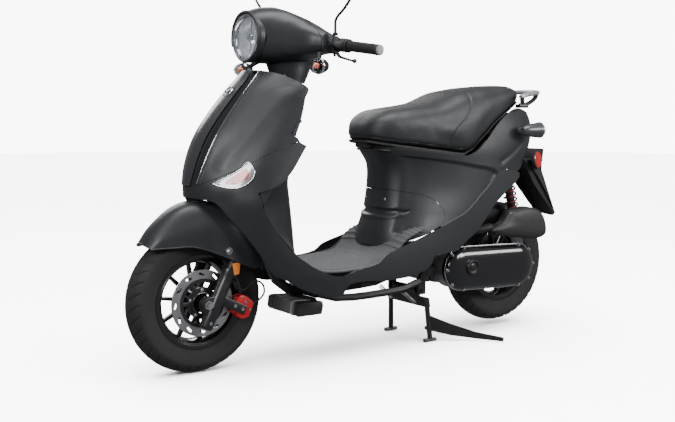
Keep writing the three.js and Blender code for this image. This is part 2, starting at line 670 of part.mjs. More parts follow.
function stripe() {
  const rows = [
    [[462, 0, 902], [459, 26, 901]],
    [[483, 0, 878], [479, 34, 877]],
    [[518, 0, 842], [513, 38, 842]],
    [[572, 0, 781], [566, 40, 781]],
    [[622, 0, 714], [615, 40, 714]],
    [[649, 0, 660], [642, 38, 660]],
    [[667, 0, 604], [660, 34, 604]],
    [[674, 0, 562], [669, 26, 562]],
  ].map((row) => row.map(([x, y, z]) => [x + 5, y, z]));
  return sheet(smoothGrid(symmetric(rows), 4, 12), -2.5);
}

// Rows run from the top to the floor; each goes from the centre line to the outer edge.
function innerShield() {
  const rows = [
    [[252, 0, 850], [276, 50, 850], [306, 95, 848], [334, 130, 846], [350, 150, 845]],
    [[262, 0, 790], [298, 55, 790], [330, 100, 788], [356, 140, 786], [372, 166, 784]],
    [[276, 0, 740], [312, 55, 740], [344, 100, 740], [376, 146, 740], [396, 174, 740]],
    [[290, 0, 705], [322, 50, 705], [352, 92, 705], [392, 148, 705], [414, 178, 705]],
    [[300, 0, 684], [328, 50, 684], [354, 92, 684], [384, 142, 684], [396, 178, 685]],
    [[310, 0, 668], [334, 55, 668], [356, 100, 668], [368, 145, 668], [376, 180, 670]],
    [[328, 0, 640], [341, 60, 640], [358, 110, 640], [372, 150, 640], [392, 182, 642]],
    [[350, 0, 600], [357, 60, 600], [374, 105, 600], [402, 145, 600], [430, 182, 602]],
    [[352, 0, 560], [358, 60, 560], [382, 100, 560], [430, 140, 560], [478, 180, 558]],
    [[348, 0, 510], [353, 60, 510], [376, 98, 510], [432, 135, 510], [512, 180, 508]],
    [[342, 0, 450], [347, 60, 450], [368, 98, 450], [420, 135, 450], [488, 181, 450]],
    [[338, 0, 400], [342, 60, 400], [362, 98, 400], [402, 135, 400], [448, 184, 402]],
    [[338, 0, 352], [341, 60, 352], [356, 98, 352], [380, 135, 352], [402, 184, 354]],
  ];
  return cut(sheet(smoothGrid(symmetric(rows), 10, 12), SHELL), downTube(20));
}

node('front_panel', frontPanel(), BODY_MATTE);
node('leg_shield', apron(), BODY_MATTE);
node('eye_lens_left', eyeLens(), CLEAR);
node('eye_lens_right', mirrored(eyeLens()), CLEAR);
node('front_stripe', stripe(), GLOSS_BLACK);
node('inner_shield', innerShield(), BODY_MATTE);

// ---------------------------------------------------------------- rear bodywork
// Rows run from the tail's top to the floor; each goes round from the front to the tail.
const BODY_ROWS = [
  [[18, 0, 800], [8, 58, 800], [-42, 96, 800], [-125, 118, 800], [-220, 122, 800], [-330, 118, 800],
    [-440, 106, 800],
    [-540, 92, 796], [-630, 72, 790], [-672, 38, 788], [-682, 0, 788]],
  [[14, 0, 720], [4, 60, 720], [-42, 102, 720], [-122, 130, 720], [-220, 138, 720], [-330, 136, 720],
    [-450, 124, 720],
    [-560, 110, 720], [-650, 84, 720], [-697, 44, 720], [-706, 0, 720]],
  [[12, 0, 656], [1, 60, 656], [-44, 106, 656], [-122, 135, 655], [-220, 147, 652], [-330, 148, 650],
    [-445, 138, 650],
    [-550, 118, 648], [-640, 86, 646], [-688, 42, 644], [-698, 0, 644]],
  [[-19, 0, 600], [-29, 55, 600], [-68, 100, 600], [-135, 128, 600], [-225, 144, 600], [-330, 149, 598],
    [-435, 142, 596],
    [-530, 122, 592], [-612, 90, 590], [-655, 42, 588], [-662, 0, 588]],
  [[-23, 0, 520], [-32, 58, 520], [-69, 102, 520], [-132, 128, 520], [-222, 144, 520], [-320, 152, 518],
    [-420, 146, 512],
    [-505, 128, 508], [-572, 98, 502], [-605, 44, 500], [-610, 0, 500]],
  [[-9, 0, 440], [-20, 62, 440], [-57, 110, 440], [-122, 140, 440], [-205, 154, 440], [-300, 158, 436],
    [-385, 152, 432],
    [-455, 134, 428], [-505, 100, 424], [-530, 44, 420], [-535, 0, 420]],
  [[8, 0, 380], [-2, 66, 380], [-38, 118, 380], [-100, 152, 380], [-175, 162, 378], [-255, 162, 372],
    [-320, 154, 368],
    [-370, 136, 364], [-400, 100, 360], [-420, 44, 358], [-425, 0, 358]],
  [[20, 0, 325], [8, 68, 325], [-28, 122, 325], [-88, 158, 325], [-150, 166, 322], [-210, 162, 318],
    [-260, 150, 314],
    [-300, 130, 310], [-325, 96, 306], [-340, 44, 304], [-345, 0, 304]],
];

const COVER_SEAM = [[60, 528], [20, 526], [-60, 516], [-135, 500], [-178, 478], [-200, 452], [-204, 425],
  [-196, 404]];
const SILL = [[-181, 398], [-240, 418], [-291, 438], [-330, 464], [-358, 488], [-435, 547], [-449, 567],
  [-500, 574], [-566, 560]];

const bodyGrid = smoothGrid(symmetric(BODY_ROWS), 28, 9);
const bodySkin = sheet(bodyGrid, -SHELL);

function bodySide() {
  const top = [[60, 664], [22, 660], [-60, 653], [-215, 634], [-285, 626], [-340, 640], [-400, 680],
    [-460, 727],
    [-520, 764], [-570, 782], [-600, 784], [-660, 770], [-760, 740]];
  const underTail = [[-760, 604], [-650, 608], [-609, 575]];
  const outline = [...top, ...underTail, ...SILL.slice(1).reverse(), ...COVER_SEAM.slice().reverse()];
  const half = common(bodySkin, prism(outline, GAP, CUT));
  return cut(half, box(-760, -640, -1, 62, 640, 770), seatHook());
}

const seatHook = () => box(6, 60, -1, 45, 648, 700);

function frontCover() {
  const outline = [...shifted(COVER_SEAM, 2 * GAP, -2 * GAP), [-150, 385], [-60, 356], [0, 338], [60, 330]];
  return common(bodySkin, prism(outline, -CUT, CUT));
}

node('body_side_left', bodySide(), BODY_MATTE);
node('body_side_right', mirrored(bodySide()), BODY_MATTE);
node('front_cover', frontCover(), BODY_MATTE);

const SKIRT_ROWS = [
  [[280, 181, 200], [150, 180, 200], [50, 176, 200], [-50, 170, 200], [-150, 160, 200], [-250, 152, 200],
    [-350, 146, 200], [-450, 138, 200], [-560, 128, 200]],
  [[280, 186, 250], [150, 185, 250], [50, 182, 250], [-50, 177, 250], [-150, 168, 250], [-250, 160, 250],
    [-350, 152, 250], [-450, 144, 250], [-560, 132, 250]],
  [[280, 187, 310], [150, 186, 310], [50, 182, 310], [-50, 177, 310], [-150, 171, 310], [-250, 164, 310],
    [-350, 155, 310], [-450, 146, 310], [-560, 134, 310]],
  [[280, 187, 390], [150, 184, 390], [50, 176, 390], [-50, 172, 390], [-150, 168, 390], [-250, 164, 390],
    [-350, 158, 390], [-450, 149, 390], [-560, 136, 390]],
  [[280, 185, 480], [150, 180, 480], [50, 172, 480], [-50, 166, 480], [-150, 164, 480], [-250, 162, 480],
    [-350, 157, 480], [-450, 148, 480], [-560, 134, 480]],
  [[280, 180, 600], [150, 174, 600], [50, 166, 600], [-50, 162, 600], [-150, 160, 600], [-250, 158, 600],
    [-350, 154, 600], [-450, 144, 600], [-560, 130, 600]],
];

function sideSkirt() {
  const upper = [[232, 276], [180, 289], [100, 302], [67, 324], [0, 345], [-55, 361], [-120, 380], ...SILL];
  const lower = [[-560, 544], [-532, 522], [-484, 494], [-420, 450], [-375, 404], [-330, 364],
    [-292, 342], [-242, 311], [-221, 309], [-142, 304], [-122, 271],
    [-60, 250], [61, 243], [160, 250], [212, 243], [232, 217]];
  const outline = [...shifted(upper, -GAP, -2 * GAP), ...lower];
  return common(sheet(smoothGrid(SKIRT_ROWS, 12, 7), SHELL), prism(outline, 60, 300));
}

node('side_skirt_left', sideSkirt(), BODY_MATTE);
node('side_skirt_right', mirrored(sideSkirt()), BODY_MATTE);

// The room that the rear bodywork takes up, a little larger all round.
function bodyPlug(grow) {
  return loft(offsetGrid(bodyGrid, grow).map((row) => row.map((p) => p.toArray())));
}

function floorboard() {
  const rows = [
    [[394, 0, 346], [394, 60, 346], [394, 120, 346], [394, 166, 346]],
    [[350, 0, 318], [350, 60, 318], [350, 120, 318], [350, 171, 317]],
    [[306, 0, 304], [306, 60, 303], [306, 120, 300], [306, 174, 296]],
    [[256, 0, 300], [256, 60, 299], [256, 120, 295], [256, 175, 289]],
    [[141, 0, 304], [141, 60, 303], [141, 120, 298], [141, 172, 291]],
    [[49, 0, 316], [49, 60, 315], [49, 120, 312], [49, 168, 305]],
    [[10, 0, 336], [10, 60, 336], [10, 120, 334], [10, 164, 328]],
    [[-30, 0, 372], [-30, 60, 372], [-30, 120, 371], [-30, 162, 364]],
    [[-80, 0, 398], [-80, 60, 398], [-80, 120, 397], [-80, 160, 384]],
    [[-112, 0, 404], [-112, 60, 404], [-112, 120, 403], [-112, 160, 394]],
  ];
  return cut(sheet(smoothGrid(symmetric(rows), 8, 12), 4), bodyPlug(2 * GAP), downTube(20));
}

node('floorboard', floorboard(), MAT_GREY);

// ---------------------------------------------------------------- seat
// Each station gives x, half width, the seat's lower edge and its crown.
const SEAT_STATIONS = [
  [53, 34, 687, 712], [46, 62, 684, 736], [34, 84, 681, 753], [14, 102, 677, 766], [-20, 119, 672, 776],
  [-62, 130, 666, 782], [-110, 137, 660, 788], [-160, 142, 653, 794], [-210, 146, 647, 803],
    [-260, 148, 640, 820],
  [-310, 148, 635, 838], [-350, 146, 652, 845], [-400, 142, 692, 852], [-460, 133, 737, 857],
    [-520, 120, 772, 861],
  [-570, 103, 796, 860], [-606, 80, 810, 851], [-622, 50, 822, 838],
];

function cushion() {
  const loops = SEAT_STATIONS.map(([x, w, low, high]) => {
    const side = [[0.9, 0], [0.985, 0.2], [1, 0.5], [0.93, 0.82], [0.72, 0.95], [0.4, 0.99]];
    const left = side.map(([a, b]) => [x, a * w, low + b * (high - low)]);
    return [...left, [x, 0, high], ...left.slice().reverse().map(flip)];
  });
  return loft(loops);
}

function seatPan() {
  const loops = SEAT_STATIONS.slice(1, -1).map(([x, w, low]) => {
    const a = 0.82 * w;
    return [[x, -a, low - 7], [x, a, low - 7], [x, a, low - GAP], [x, -a, low - GAP]];
  });
  const hinge = rod([24, -38, 664], [24, 38, 664], 7, 8);
  return join(loft(loops), hinge, box(16, 32, -30, 30, 664, 677));
}

node('seat_cushion', cushion(), VINYL);
node('seat_pan', seatPan(), BLACK_PLASTIC);

function bucket() {
  const level = (z, x0, x1, y) => [[x0, -y, z], [x1, -y, z], [x1, y, z], [x0, y, z]];
  const outside = loft([level(470, -250, -80, 72), level(560, -330, -64, 82), level(618, -345, -56, 84)]);
  const inside = loft([level(474, -246, -84, 68), level(560, -326, -68, 78), level(630, -342, -59, 80)]);
  return cut(outside, inside);
}

function fuelTank() {
  const tank = loft([[570, 40], [590, 52], [640, 54], [672, 48]].map(([z, y]) => {
    const x0 = -588 + (672 - z) * 0.6;
    return [[x0, -y, z], [-404, -y, z], [-404, y, z], [x0, y, z]];
  }));
  return join(tank, rod([-520, 0, 668], [-520, 0, 690], 28, 14));
}

node('storage_bucket', bucket(), BLACK_PLASTIC);
node('fuel_tank', fuelTank(), BLACK_PLASTIC);
node('battery', box(60, 200, -44, 44, 198, 282), BLACK_PLASTIC);

function canister() {
  const body = prism([[254, 142], [336, 142], [342, 152], [338, 182], [328, 188], [250, 182], [246, 170]],
    -94, 94);
  return join(body, box(252, 272, -60, 60, 180, 188.4));
}

node('evap_canister', canister(), MAT_GREY);

// ---------------------------------------------------------------- tail
function tailLight() {
  const rows = [
    [[-668, 0, 764], [-664, 30, 764], [-652, 54, 762]],
    [[-700, 0, 742], [-694, 30, 742], [-680, 56, 740]],
    [[-706, 0, 700], [-700, 30, 700], [-686, 56, 700]],
    [[-700, 0, 660], [-694, 30, 660], [-680, 56, 660]],
    [[-690, 0, 646], [-684, 30, 646], [-670, 54, 646]],
  ].map((row) => row.map(([x, y, z]) => [x - 6, y, z]));
  return sheet(smoothGrid(symmetric(rows), 6, 6), 14);
}

function rearSignal() {
  const pod = join(rod([-560, 146, 706], [-632, 150, 708], 22, 14, 28), ball([-632, 150, 708],
    27.5, [0.5, 1, 1]));
  const stalk = rod([-585, 116, 706], [-590, 150, 707], 14, 10);
  return cut(join(pod, stalk), bodyPlug(2 * GAP));
}

function grabRail() {
  const half = (side) => [
    pipe([[-716, 0, 842], [-712, side * 40, 842], [-692, side * 78, 840], [-648, side * 108, 837],
      [-600, side * 120, 832],
      [-564, side * 127, 824]], 12, 6, 7),
    pipe([[-690, side * 80, 836], [-660, side * 98, 818], [-618, side * 112, 802],
      [-580, side * 116, 794]], 10, 6, 4),
  ];
  const shoe = (side) => box(-598, -556, side > 0 ? 108 : -134, side > 0 ? 134 : -108, 786, 800);
  const post = (side) => rod([-572, side * 126, 824], [-576, side * 124, 790], 8, 6);
  return join(...half(1), ...half(-1), shoe(1), shoe(-1), post(1), post(-1));
}

function plateBracket() {
  const flap = sheet(smoothGrid(symmetric([
    [[-664, 0, 592], [-660, 56, 594]],
    [[-716, 0, 560], [-704, 58, 560]],
    [[-786, 0, 480], [-766, 58, 482]],
    [[-840, 0, 410], [-812, 54, 416]],
    [[-864, 0, 378], [-826, 46, 390]],
  ]), 6, 6), -3);
  return join(flap, box(-755, -662, -54, 54, 590, 598), prism([[-752, 556], [-764, 636], [-758, 636],
    [-744, 556]], -50, 50));
}

node('tail_light', tailLight(), RED);
node('rear_signal_left', rearSignal(), BLACK_PLASTIC);
node('rear_signal_right', mirrored(rearSignal()), BLACK_PLASTIC);
node('grab_rail', grabRail(), ALLOY);
node('plate_bracket', plateBracket(), BLACK_PLASTIC);

// ---------------------------------------------------------------- centre stand
function centreStand() {
  const { x, z } = STAND_PIVOT;
  const tube = rod([x, -62, z], [x, 62, z], 14, 14);
  const legs = [1, -1].flatMap((side) => [
    rod([x - 9, side * 98, 136], [-178, side * 108, 9], 9, 10),
    rod([-202, side * 108, 6], [-152, side * 108, 6], 7, 8),
  ]);
  const plate = join(
    prism([[x - 14, 150], [x + 5, 150], [-162, 118], [-182, 118]], -105, 105),
    prism([[x - 12, 168], [x + 10, 168], [x + 5, 148], [x - 14, 148]], -58, 58),
  );
  const tang = loft([
    [[-172, 104, 92], [-172, 108, 92], [-176, 108, 38], [-176, 104, 38]],
    [[-240, 140, 60], [-240, 144, 60], [-240, 144, 20], [-240, 140, 20]],
    [[-310, 186, 32], [-310, 191, 32], [-310, 191, 8], [-310, 186, 8]],
    [[-352, 224, 22], [-352, 231, 22], [-352, 231, 4], [-352, 224, 4]],
    [[-366, 262, 16], [-372, 262, 18], [-372, 262, 6], [-366, 262, 4]],
  ]);
  const stop = rod([-206, 84, 44], [-206, 104, 44], 13, 10);
  const stopArm = box(-210, -170, 88, 98, 40, 50);
  const stand = join(tube, ...legs, plate, tang, stop, stopArm);
  return cut(stand, rod([x, -70, z], [x, 70, z], 8.5, 12), box(-500, 0, -400, 400, -20, 0));
}

node('centre_stand', centreStand(), FRAME_BLACK);

// ---------------------------------------------------------------- engine and swing arm
const CRANK = { x: -306, z: 240 };

function stadium(frontRadius, rearRadius, extra = 0) {
  const points = [];
  for (let k = 0; k <= 10; k++) {
    const t = -Math.PI / 2 + (Math.PI * k) / 10;
    points.push([CRANK.x + (frontRadius + extra) * Math.cos(t),
      CRANK.z + (frontRadius + extra) * Math.sin(t)]);
  }
  for (let k = 0; k <= 10; k++) {
    const t = Math.PI / 2 + (Math.PI * k) / 10;
    points.push([REAR_AXLE.x + (rearRadius + extra) * Math.cos(t),
      REAR_AXLE.z + (rearRadius + extra) * Math.sin(t)]);
  }
  return points;
}

function engineCase() {
  const { x, z } = SWING_PIVOT;
  const arm = prism(stadium(72, 60), 56, 104);
  const crankcase = prism([[-236, 190], [-330, 178], [-336, 300], [-300, 322], [-240, 316]], -72, 60);
  const hanger = join(rod([x, -58, z], [x, 58, z], 16, 14), box(-245, x, -50, 50, z - 11, z + 11));
  const axle = rod([REAR_AXLE.x, -56, REAR_AXLE.z], [REAR_AXLE.x, 60, REAR_AXLE.z], 9, 10);
  const shockEar = prism([[-590, 270], [-625, 270], [-618, 322], [-592, 326]], 66, 94);
  const body = join(arm, crankcase, hanger, axle, shockEar);
  return cut(body, rod([x, -70, z], [x, 70, z], 8.5, 12), box(-640, -560, 66.5, 93.5, 296, 360));
}

function cvtCover() {
  const rear = [...stadium(76, 76)];
  const front = [...stadium(58, 58)];
  const loop = (points, y) => points.map(([x, z]) => [x, y, z]);
  const body = loft([loop(rear, 104 + GAP), loop(rear, 124), loop(stadium(70, 70), 140), loop(front, 148)]);
  return join(body, rod([-330, 140, 246], [-330, 158, 246], 27, 16, 23));
}

function cylinder() {
  const fins = [0, 1, 2, 3, 4].map((k) => box(-224 + k * 17, -216 + k * 17, -52, 52, 236, 326));
  const head = box(-146, -118, -44, 44, 242, 318);
  return join(box(-235 + GAP, -130, -38, 38, 246, 314), ...fins, head);
}

function airBox() {
  const outline = [[-505, 428], [-600, 437], [-662, 413], [-687, 357], [-682, 333], [-642, 321],
    [-556, 330], [-440, 350],
    [-424, 364], [-477, 392]];
  return join(prism(outline, 112, 160, 24), rod([-440, 112, 372], [-330, 60, 350], 18, 10));
}

function muffler() {
  const can = rod([-392, -112, 226], [-770, -112, 276], 52, 16, 50);
  const header = pipe([[-136, -54, 285], [-132, -85, 284], [-140, -122, 268], [-176, -130, 234],
    [-260, -126, 206], [-340, -116, 212],
    [-400, -112, 228]], 13, 8, 12);
  const tip = rod([-760, -112, 275], [-796, -112, 280], 16, 10);
  return join(can, header, tip);
}

node('engine_case', engineCase(), ALLOY);
node('cvt_cover', cvtCover(), GLOSS_BLACK);
node('cylinder', cylinder(), ALLOY);
node('air_box', airBox(), BLACK_PLASTIC);
node('muffler', muffler(), FRAME_BLACK);

// ---------------------------------------------------------------- rear shock
const shockAxis = new THREE.Vector3(...SHOCK_FOOT).sub(new THREE.Vector3(...SHOCK_TOP)).normalize();
const alongShock = (mm) => new THREE.Vector3(...SHOCK_TOP).addScaledVector(shockAxis, mm).toArray();

function shockUpper() {
  const body = join(rod(alongShock(-12), alongShock(130), 15, 14), rod(alongShock(18), alongShock(26), 26,
    16));
  return cut(body, rod([SHOCK_TOP[0], 60, SHOCK_TOP[2]], [SHOCK_TOP[0], 100, SHOCK_TOP[2]], 8.6, 12),
    rod(alongShock(40), alongShock(140), 9.4, 12));
}

function shockLower() {
  const body = join(rod(alongShock(104), alongShock(214), 8.6, 12), rod(alongShock(196), alongShock(206),
    26, 16));
  return join(body, rod(alongShock(206), alongShock(222), 12, 12));
}

function shockSpring() {
  const [turns, radius] = [7, 22];
  const side = new THREE.Vector3(0, 1, 0);
  const across = new THREE.Vector3().crossVectors(shockAxis, side);
  const points = Array.from({ length: turns * 6 + 1 }, (_, k) => {
    const t = (2 * Math.PI * k) / 6;
    const centre = new THREE.Vector3(...alongShock(31 + (160 * k) / (turns * 6)));
    return centre.addScaledVector(side, radius * Math.cos(t)).addScaledVector(across,
      radius * Math.sin(t)).toArray();
  });
  return pipe(points, 3.6, 4, turns * 6);
}

node('shock_upper', shockUpper(), FRAME_BLACK);
node('shock_lower', shockLower(), STEEL);
node('shock_spring', shockSpring(), RED);

export default scooter;
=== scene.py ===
"""Looks of a step-through scooter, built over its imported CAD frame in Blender 4.5."""
import math

import bpy
import numpy as np
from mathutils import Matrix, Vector


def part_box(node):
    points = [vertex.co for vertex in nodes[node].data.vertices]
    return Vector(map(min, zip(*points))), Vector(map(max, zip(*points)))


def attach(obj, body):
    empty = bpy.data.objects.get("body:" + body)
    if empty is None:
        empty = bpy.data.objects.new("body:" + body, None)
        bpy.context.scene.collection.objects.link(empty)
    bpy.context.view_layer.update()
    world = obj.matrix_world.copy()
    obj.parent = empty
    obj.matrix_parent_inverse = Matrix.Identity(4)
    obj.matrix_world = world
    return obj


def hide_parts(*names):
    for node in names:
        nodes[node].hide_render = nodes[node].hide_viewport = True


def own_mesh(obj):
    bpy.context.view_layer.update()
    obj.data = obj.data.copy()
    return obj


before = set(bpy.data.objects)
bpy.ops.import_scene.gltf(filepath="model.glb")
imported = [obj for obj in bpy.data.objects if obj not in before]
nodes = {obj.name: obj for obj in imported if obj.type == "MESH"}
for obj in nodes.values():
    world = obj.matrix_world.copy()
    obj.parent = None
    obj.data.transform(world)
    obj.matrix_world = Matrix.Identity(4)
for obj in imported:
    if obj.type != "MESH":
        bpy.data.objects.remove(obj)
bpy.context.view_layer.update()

MM = 0.001
RAKE = math.radians(26.5)
STEER_FOOT_X = 731
FRONT_AXLE = (651, 0, 216)
REAR_AXLE = (-564, 0, 231)
Y_AXIS = (0, 1, 0)
UP = (0, 0, 1)
HANDS = (("left", 1), ("right", -1))
ROUND_HEAD = 24     # sides of a round screw head
PANEL_WALL = 3      # thickness of a body panel
CUT_REACH = 300     # how far to each side a cutter goes, clear of the whole body
TURN = 2 * math.pi


# ---------------------------------------------------------------- curves and surfaces, in millimetres
def catmull(points, spans, closed=False):
    """Points of a centripetal Catmull-Rom curve; works on whole rows at once."""
    p = np.array(points, float)
    steps = len(p) if closed else len(p) - 1
    if closed:
        ext = np.concatenate([p[-1:], p, p[:2]])
    else:
        ext = np.concatenate([2 * p[:1] - p[1:2], p, 2 * p[-1:] - p[-2:-1]])
    out = []
    for k in range(spans if closed else spans + 1):
        u = k / spans * steps
        i = min(int(u), steps - 1)
        t = u - i
        p0, p1, p2, p3 = ext[i:i + 4]
        d0, d1, d2 = (np.maximum(np.sum((b - a) ** 2, -1, keepdims=True) ** 0.25, 1e-3)
                      for a, b in ((p0, p1), (p1, p2), (p2, p3)))
        m1 = ((p1 - p0) / d0 - (p2 - p0) / (d0 + d1) + (p2 - p1) / d1) * d1
        m2 = ((p2 - p1) / d1 - (p3 - p1) / (d1 + d2) + (p3 - p2) / d2) * d1
        out.append(p1 + m1 * t + (3 * (p2 - p1) - 2 * m1 - m2) * t * t + (2 * (p1 - p2) + m1 + m2) * t ** 3)
    return np.array(out)


def smooth_grid(rows, across, down):
    wide = np.array([catmull(row, across) for row in rows])
    return catmull(wide, down)


def symmetric(rows):
    return [[(x, -y, z) for x, y, z in row[::-1] if y > 0] + list(row) for row in rows]


def normals_of(grid):
    u = np.gradient(grid, axis=0)
    v = np.gradient(grid, axis=1)
    n = np.cross(u, v)
    return n / np.maximum(np.linalg.norm(n, axis=2, keepdims=True), 1e-9)


def thick(grid, wall):
    """A closed sheet: the surface and a copy of it along its normals."""
    m, n, _ = grid.shape
    back = grid + normals_of(grid) * wall
    verts = np.concatenate([grid.reshape(-1, 3), back.reshape(-1, 3)])
    faces = []
    half = m * n
    for i in range(m - 1):
        for j in range(n - 1):
            a = i * n + j
            faces.append((a, a + 1, a + n + 1, a + n))
            faces.append((half + a, half + a + n, half + a + n + 1, half + a + 1))
    rim = [j for j in range(n - 1)] + [i * n + n - 1 for i in range(m - 1)]
    rim += [(m - 1) * n + j for j in range(n - 1, 0, -1)] + [i * n for i in range(m - 1, 0, -1)]
    for a, b in zip(rim, rim[1:] + rim[:1]):
        faces.append((a, a + half, b + half, b))
    return verts, faces


def loft(loops, caps=True):
    loops = np.array(loops, float)
    m, n, _ = loops.shape
    faces = [(i * n + j, i * n + (j + 1) % n, (i + 1) * n + (j + 1) % n, (i + 1) * n + j)
             for i in range(m - 1) for j in range(n)]
    if caps:
        faces += [tuple(range(n))[::-1], tuple(range((m - 1) * n, m * n))]
    return loops.reshape(-1, 3), faces


def smooth_loft(loops, around, along):
    """Loops smoothed both ways, then capped."""
    fine = catmull([catmull(loop, around, closed=True) for loop in loops], along)
    return loft(fine)


def frame_of(direction):
    z = np.array(direction, float)
    z /= np.linalg.norm(z)
    x = np.cross((0, 0, 1) if abs(z[2]) < 0.9 else (1, 0, 0), z)
    x /= np.linalg.norm(x)
    return x, np.cross(z, x), z


def lathe(profile, origin, axis, segments=48):
    """A closed or axis-touching (radius, height) profile turned about an axis."""
    x, y, z = frame_of(axis)
    t = np.linspace(0, TURN, segments, endpoint=False)
    ring = np.outer(np.cos(t), x) + np.outer(np.sin(t), y)
    loops = [np.array(origin) + max(r, 0.01) * ring + h * z for r, h in profile]
    return loft(loops)


def ring_lathe(profile, origin, axis, segments=96):
    """A profile that closes on itself, such as a rim or a tyre."""
    loops, _ = lathe(profile, origin, axis, segments)
    m = len(profile)
    faces = [(i * segments + j, i * segments + (j + 1) % segments,
              ((i + 1) % m) * segments + (j + 1) % segments, ((i + 1) % m) * segments + j)
             for i in range(m) for j in range(segments)]
    return loops, faces


def tube(points, radius, sides=16, spans=None, closed=False):
    """A round bar along a smooth curve; radius may be one number or one per point."""
    pts = np.array(points, float)
    radii = np.array(radius if np.ndim(radius) else [radius] * len(pts), float)
    if spans:
        blended = catmull(np.c_[pts, radii], spans, closed)
        pts, radii = blended[:, :3], blended[:, 3]
    ends = (np.roll(pts, -1, 0) - np.roll(pts, 1, 0)) if closed else np.gradient(pts, axis=0)
    x = frame_of(ends[0])[0]
    t = np.linspace(0, TURN, sides, endpoint=False)
    loops = []
    for p, d, r in zip(pts, ends, radii):
        z = d / np.linalg.norm(d)
        x = x - z * np.dot(x, z)
        x /= np.linalg.norm(x)
        loops.append(p + r * (np.outer(np.cos(t), x) + np.outer(np.sin(t), np.cross(z, x))))
    verts, faces = loft(loops, caps=not closed)
    if closed:
        n, m = sides, len(loops)
        faces += [((m - 1) * n + j, (m - 1) * n + (j + 1) % n, (j + 1) % n, j) for j in range(n)]
    return verts, faces


def ball(centre, radius, scale=(1, 1, 1), segments=32):
    t = np.linspace(-math.pi / 2, math.pi / 2, segments // 2 + 1)
    verts, faces = lathe([(math.cos(a), math.sin(a)) for a in t], (0, 0, 0), UP, segments)
    return verts * radius * np.array(scale) + np.array(centre), faces


def slab(outline, depth, place, edge=1.2, smooth=0):
    """A plate with softened edges. place maps (u, v, depth) arrays to points."""
    flat = np.array(outline, float)
    if smooth:
        flat = catmull(flat, smooth, closed=True)
    ahead, behind = np.roll(flat, -1, 0), np.roll(flat, 1, 0)
    chord = ahead - behind
    inward = np.c_[-chord[:, 1], chord[:, 0]] / np.maximum(np.linalg.norm(chord, axis=1, keepdims=True), 1e-6)
    area = np.sum(flat[:, 0] * ahead[:, 1] - ahead[:, 0] * flat[:, 1])
    inward *= math.copysign(1, area)
    levels = [(edge, 0), (edge * 0.3, edge * 0.3), (0, edge), (0, depth - edge),
              (edge * 0.3, depth - edge * 0.3),
              (edge, depth)]
    loops = [place(*(flat + inward * inset).T, np.full(len(flat), d)) for inset, d in levels]
    return loft(loops)


def side_on(y0):
    """Places a side-view outline of (x, z) with its depth running along +Y from y0."""
    return lambda u, v, d: np.stack([u, y0 + d, v], 1)


def block(low, high, edge=1.5):
    (x0, y0, z0), (x1, y1, z1) = low, high
    return slab([(x0, z0), (x1, z0), (x1, z1), (x0, z1)], y1 - y0, side_on(y0), edge)


def prism(outline, y0, y1):
    """A plain cutter with a side-view outline, its faces turned outward."""
    flat = np.array(outline, float)
    after = np.roll(flat, -1, 0)
    if np.sum(flat[:, 0] * after[:, 1] - after[:, 0] * flat[:, 1]) > 0:
        flat = flat[::-1]
    loops = [np.stack([flat[:, 0], np.full(len(flat), y), flat[:, 1]], 1) for y in (y0, y1)]
    return loft(loops)


def bolt(centre, axis, radius=5, height=4, sides=6):
    profile = [(0, 0), (radius * 1.35, 0), (radius * 1.35, 1), (radius, 1), (radius, height - 0.6),
               (radius - 0.7, height), (0, height)]
    return lathe(profile, centre, axis, sides)


def mirrored(part):
    verts, faces = part
    return verts * np.array([1, -1, 1]), [f[::-1] for f in faces]


def raked(part):
    """From the upright drawing about the steering axis to its place."""
    verts, faces = part
    u, y, w = verts.T
    x = u * math.cos(RAKE) - w * math.sin(RAKE) + STEER_FOOT_X
    return np.stack([x, y, u * math.sin(RAKE) + w * math.cos(RAKE)], 1), faces


def both(parts):
    return parts + [mirrored(p) for p in parts]


# ---------------------------------------------------------------- Blender objects
def piece(name, parts, look, body, stands_for=(), angle=32):
    verts = np.concatenate([v for v, _ in parts])
    faces, start = [], 0
    for v, f in parts:
        faces += [tuple(i + start for i in face) for face in f]
        start += len(v)
    mesh = bpy.data.meshes.new(name)
    mesh.from_pydata((verts * MM).tolist(), [], faces)
    mesh.materials.append(look)
    obj = bpy.data.objects.new(name, mesh)
    bpy.context.scene.collection.objects.link(obj)
    finish_piece(obj, body, stands_for, angle)
    return obj


def finish_piece(obj, body, stands_for=(), angle=32):
    obj.data.polygons.foreach_set("use_smooth", [True] * len(obj.data.polygons))
    obj.data.set_sharp_from_angle(angle=math.radians(angle))
    obj.data.update()
    if body:
        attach(obj, body)
        if stands_for:
            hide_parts(*stands_for)


def carve(obj, cutters, operation="DIFFERENCE"):
    """Applies booleans with closed (verts, faces) cutters."""
    for k, cutter in enumerate(cutters):
        tool = piece(f"cutter_{k}", [cutter], obj.data.materials[0], None)
        modifier = obj.modifiers.new("carve", "BOOLEAN")
        modifier.solver = "MANIFOLD"
        modifier.operation = operation
        modifier.object = tool
        applied(obj)
        bpy.data.objects.remove(tool)
    return obj


def applied(obj):
    dg = bpy.context.evaluated_depsgraph_get()
    mesh = bpy.data.meshes.new_from_object(obj.evaluated_get(dg))
    obj.modifiers.clear()
    old = obj.data
    obj.data = mesh
    bpy.data.meshes.remove(old)


def carved_piece(name, parts, look, body, keep=(), remove=(), stands_for=(), angle=32,
                 rounded=0.9):
    obj = piece(name, parts, look, None)
    carve(obj, keep, "INTERSECT")
    carve(obj, remove)
    if rounded:
        bevel = obj.modifiers.new("rounded", "BEVEL")
        bevel.width = rounded * MM
        bevel.segments = 2
        bevel.angle_limit = math.radians(50)
        bevel.harden_normals = False
        bevel.use_clamp_overlap = True
    finish_piece(obj, body, stands_for, angle)
    return obj


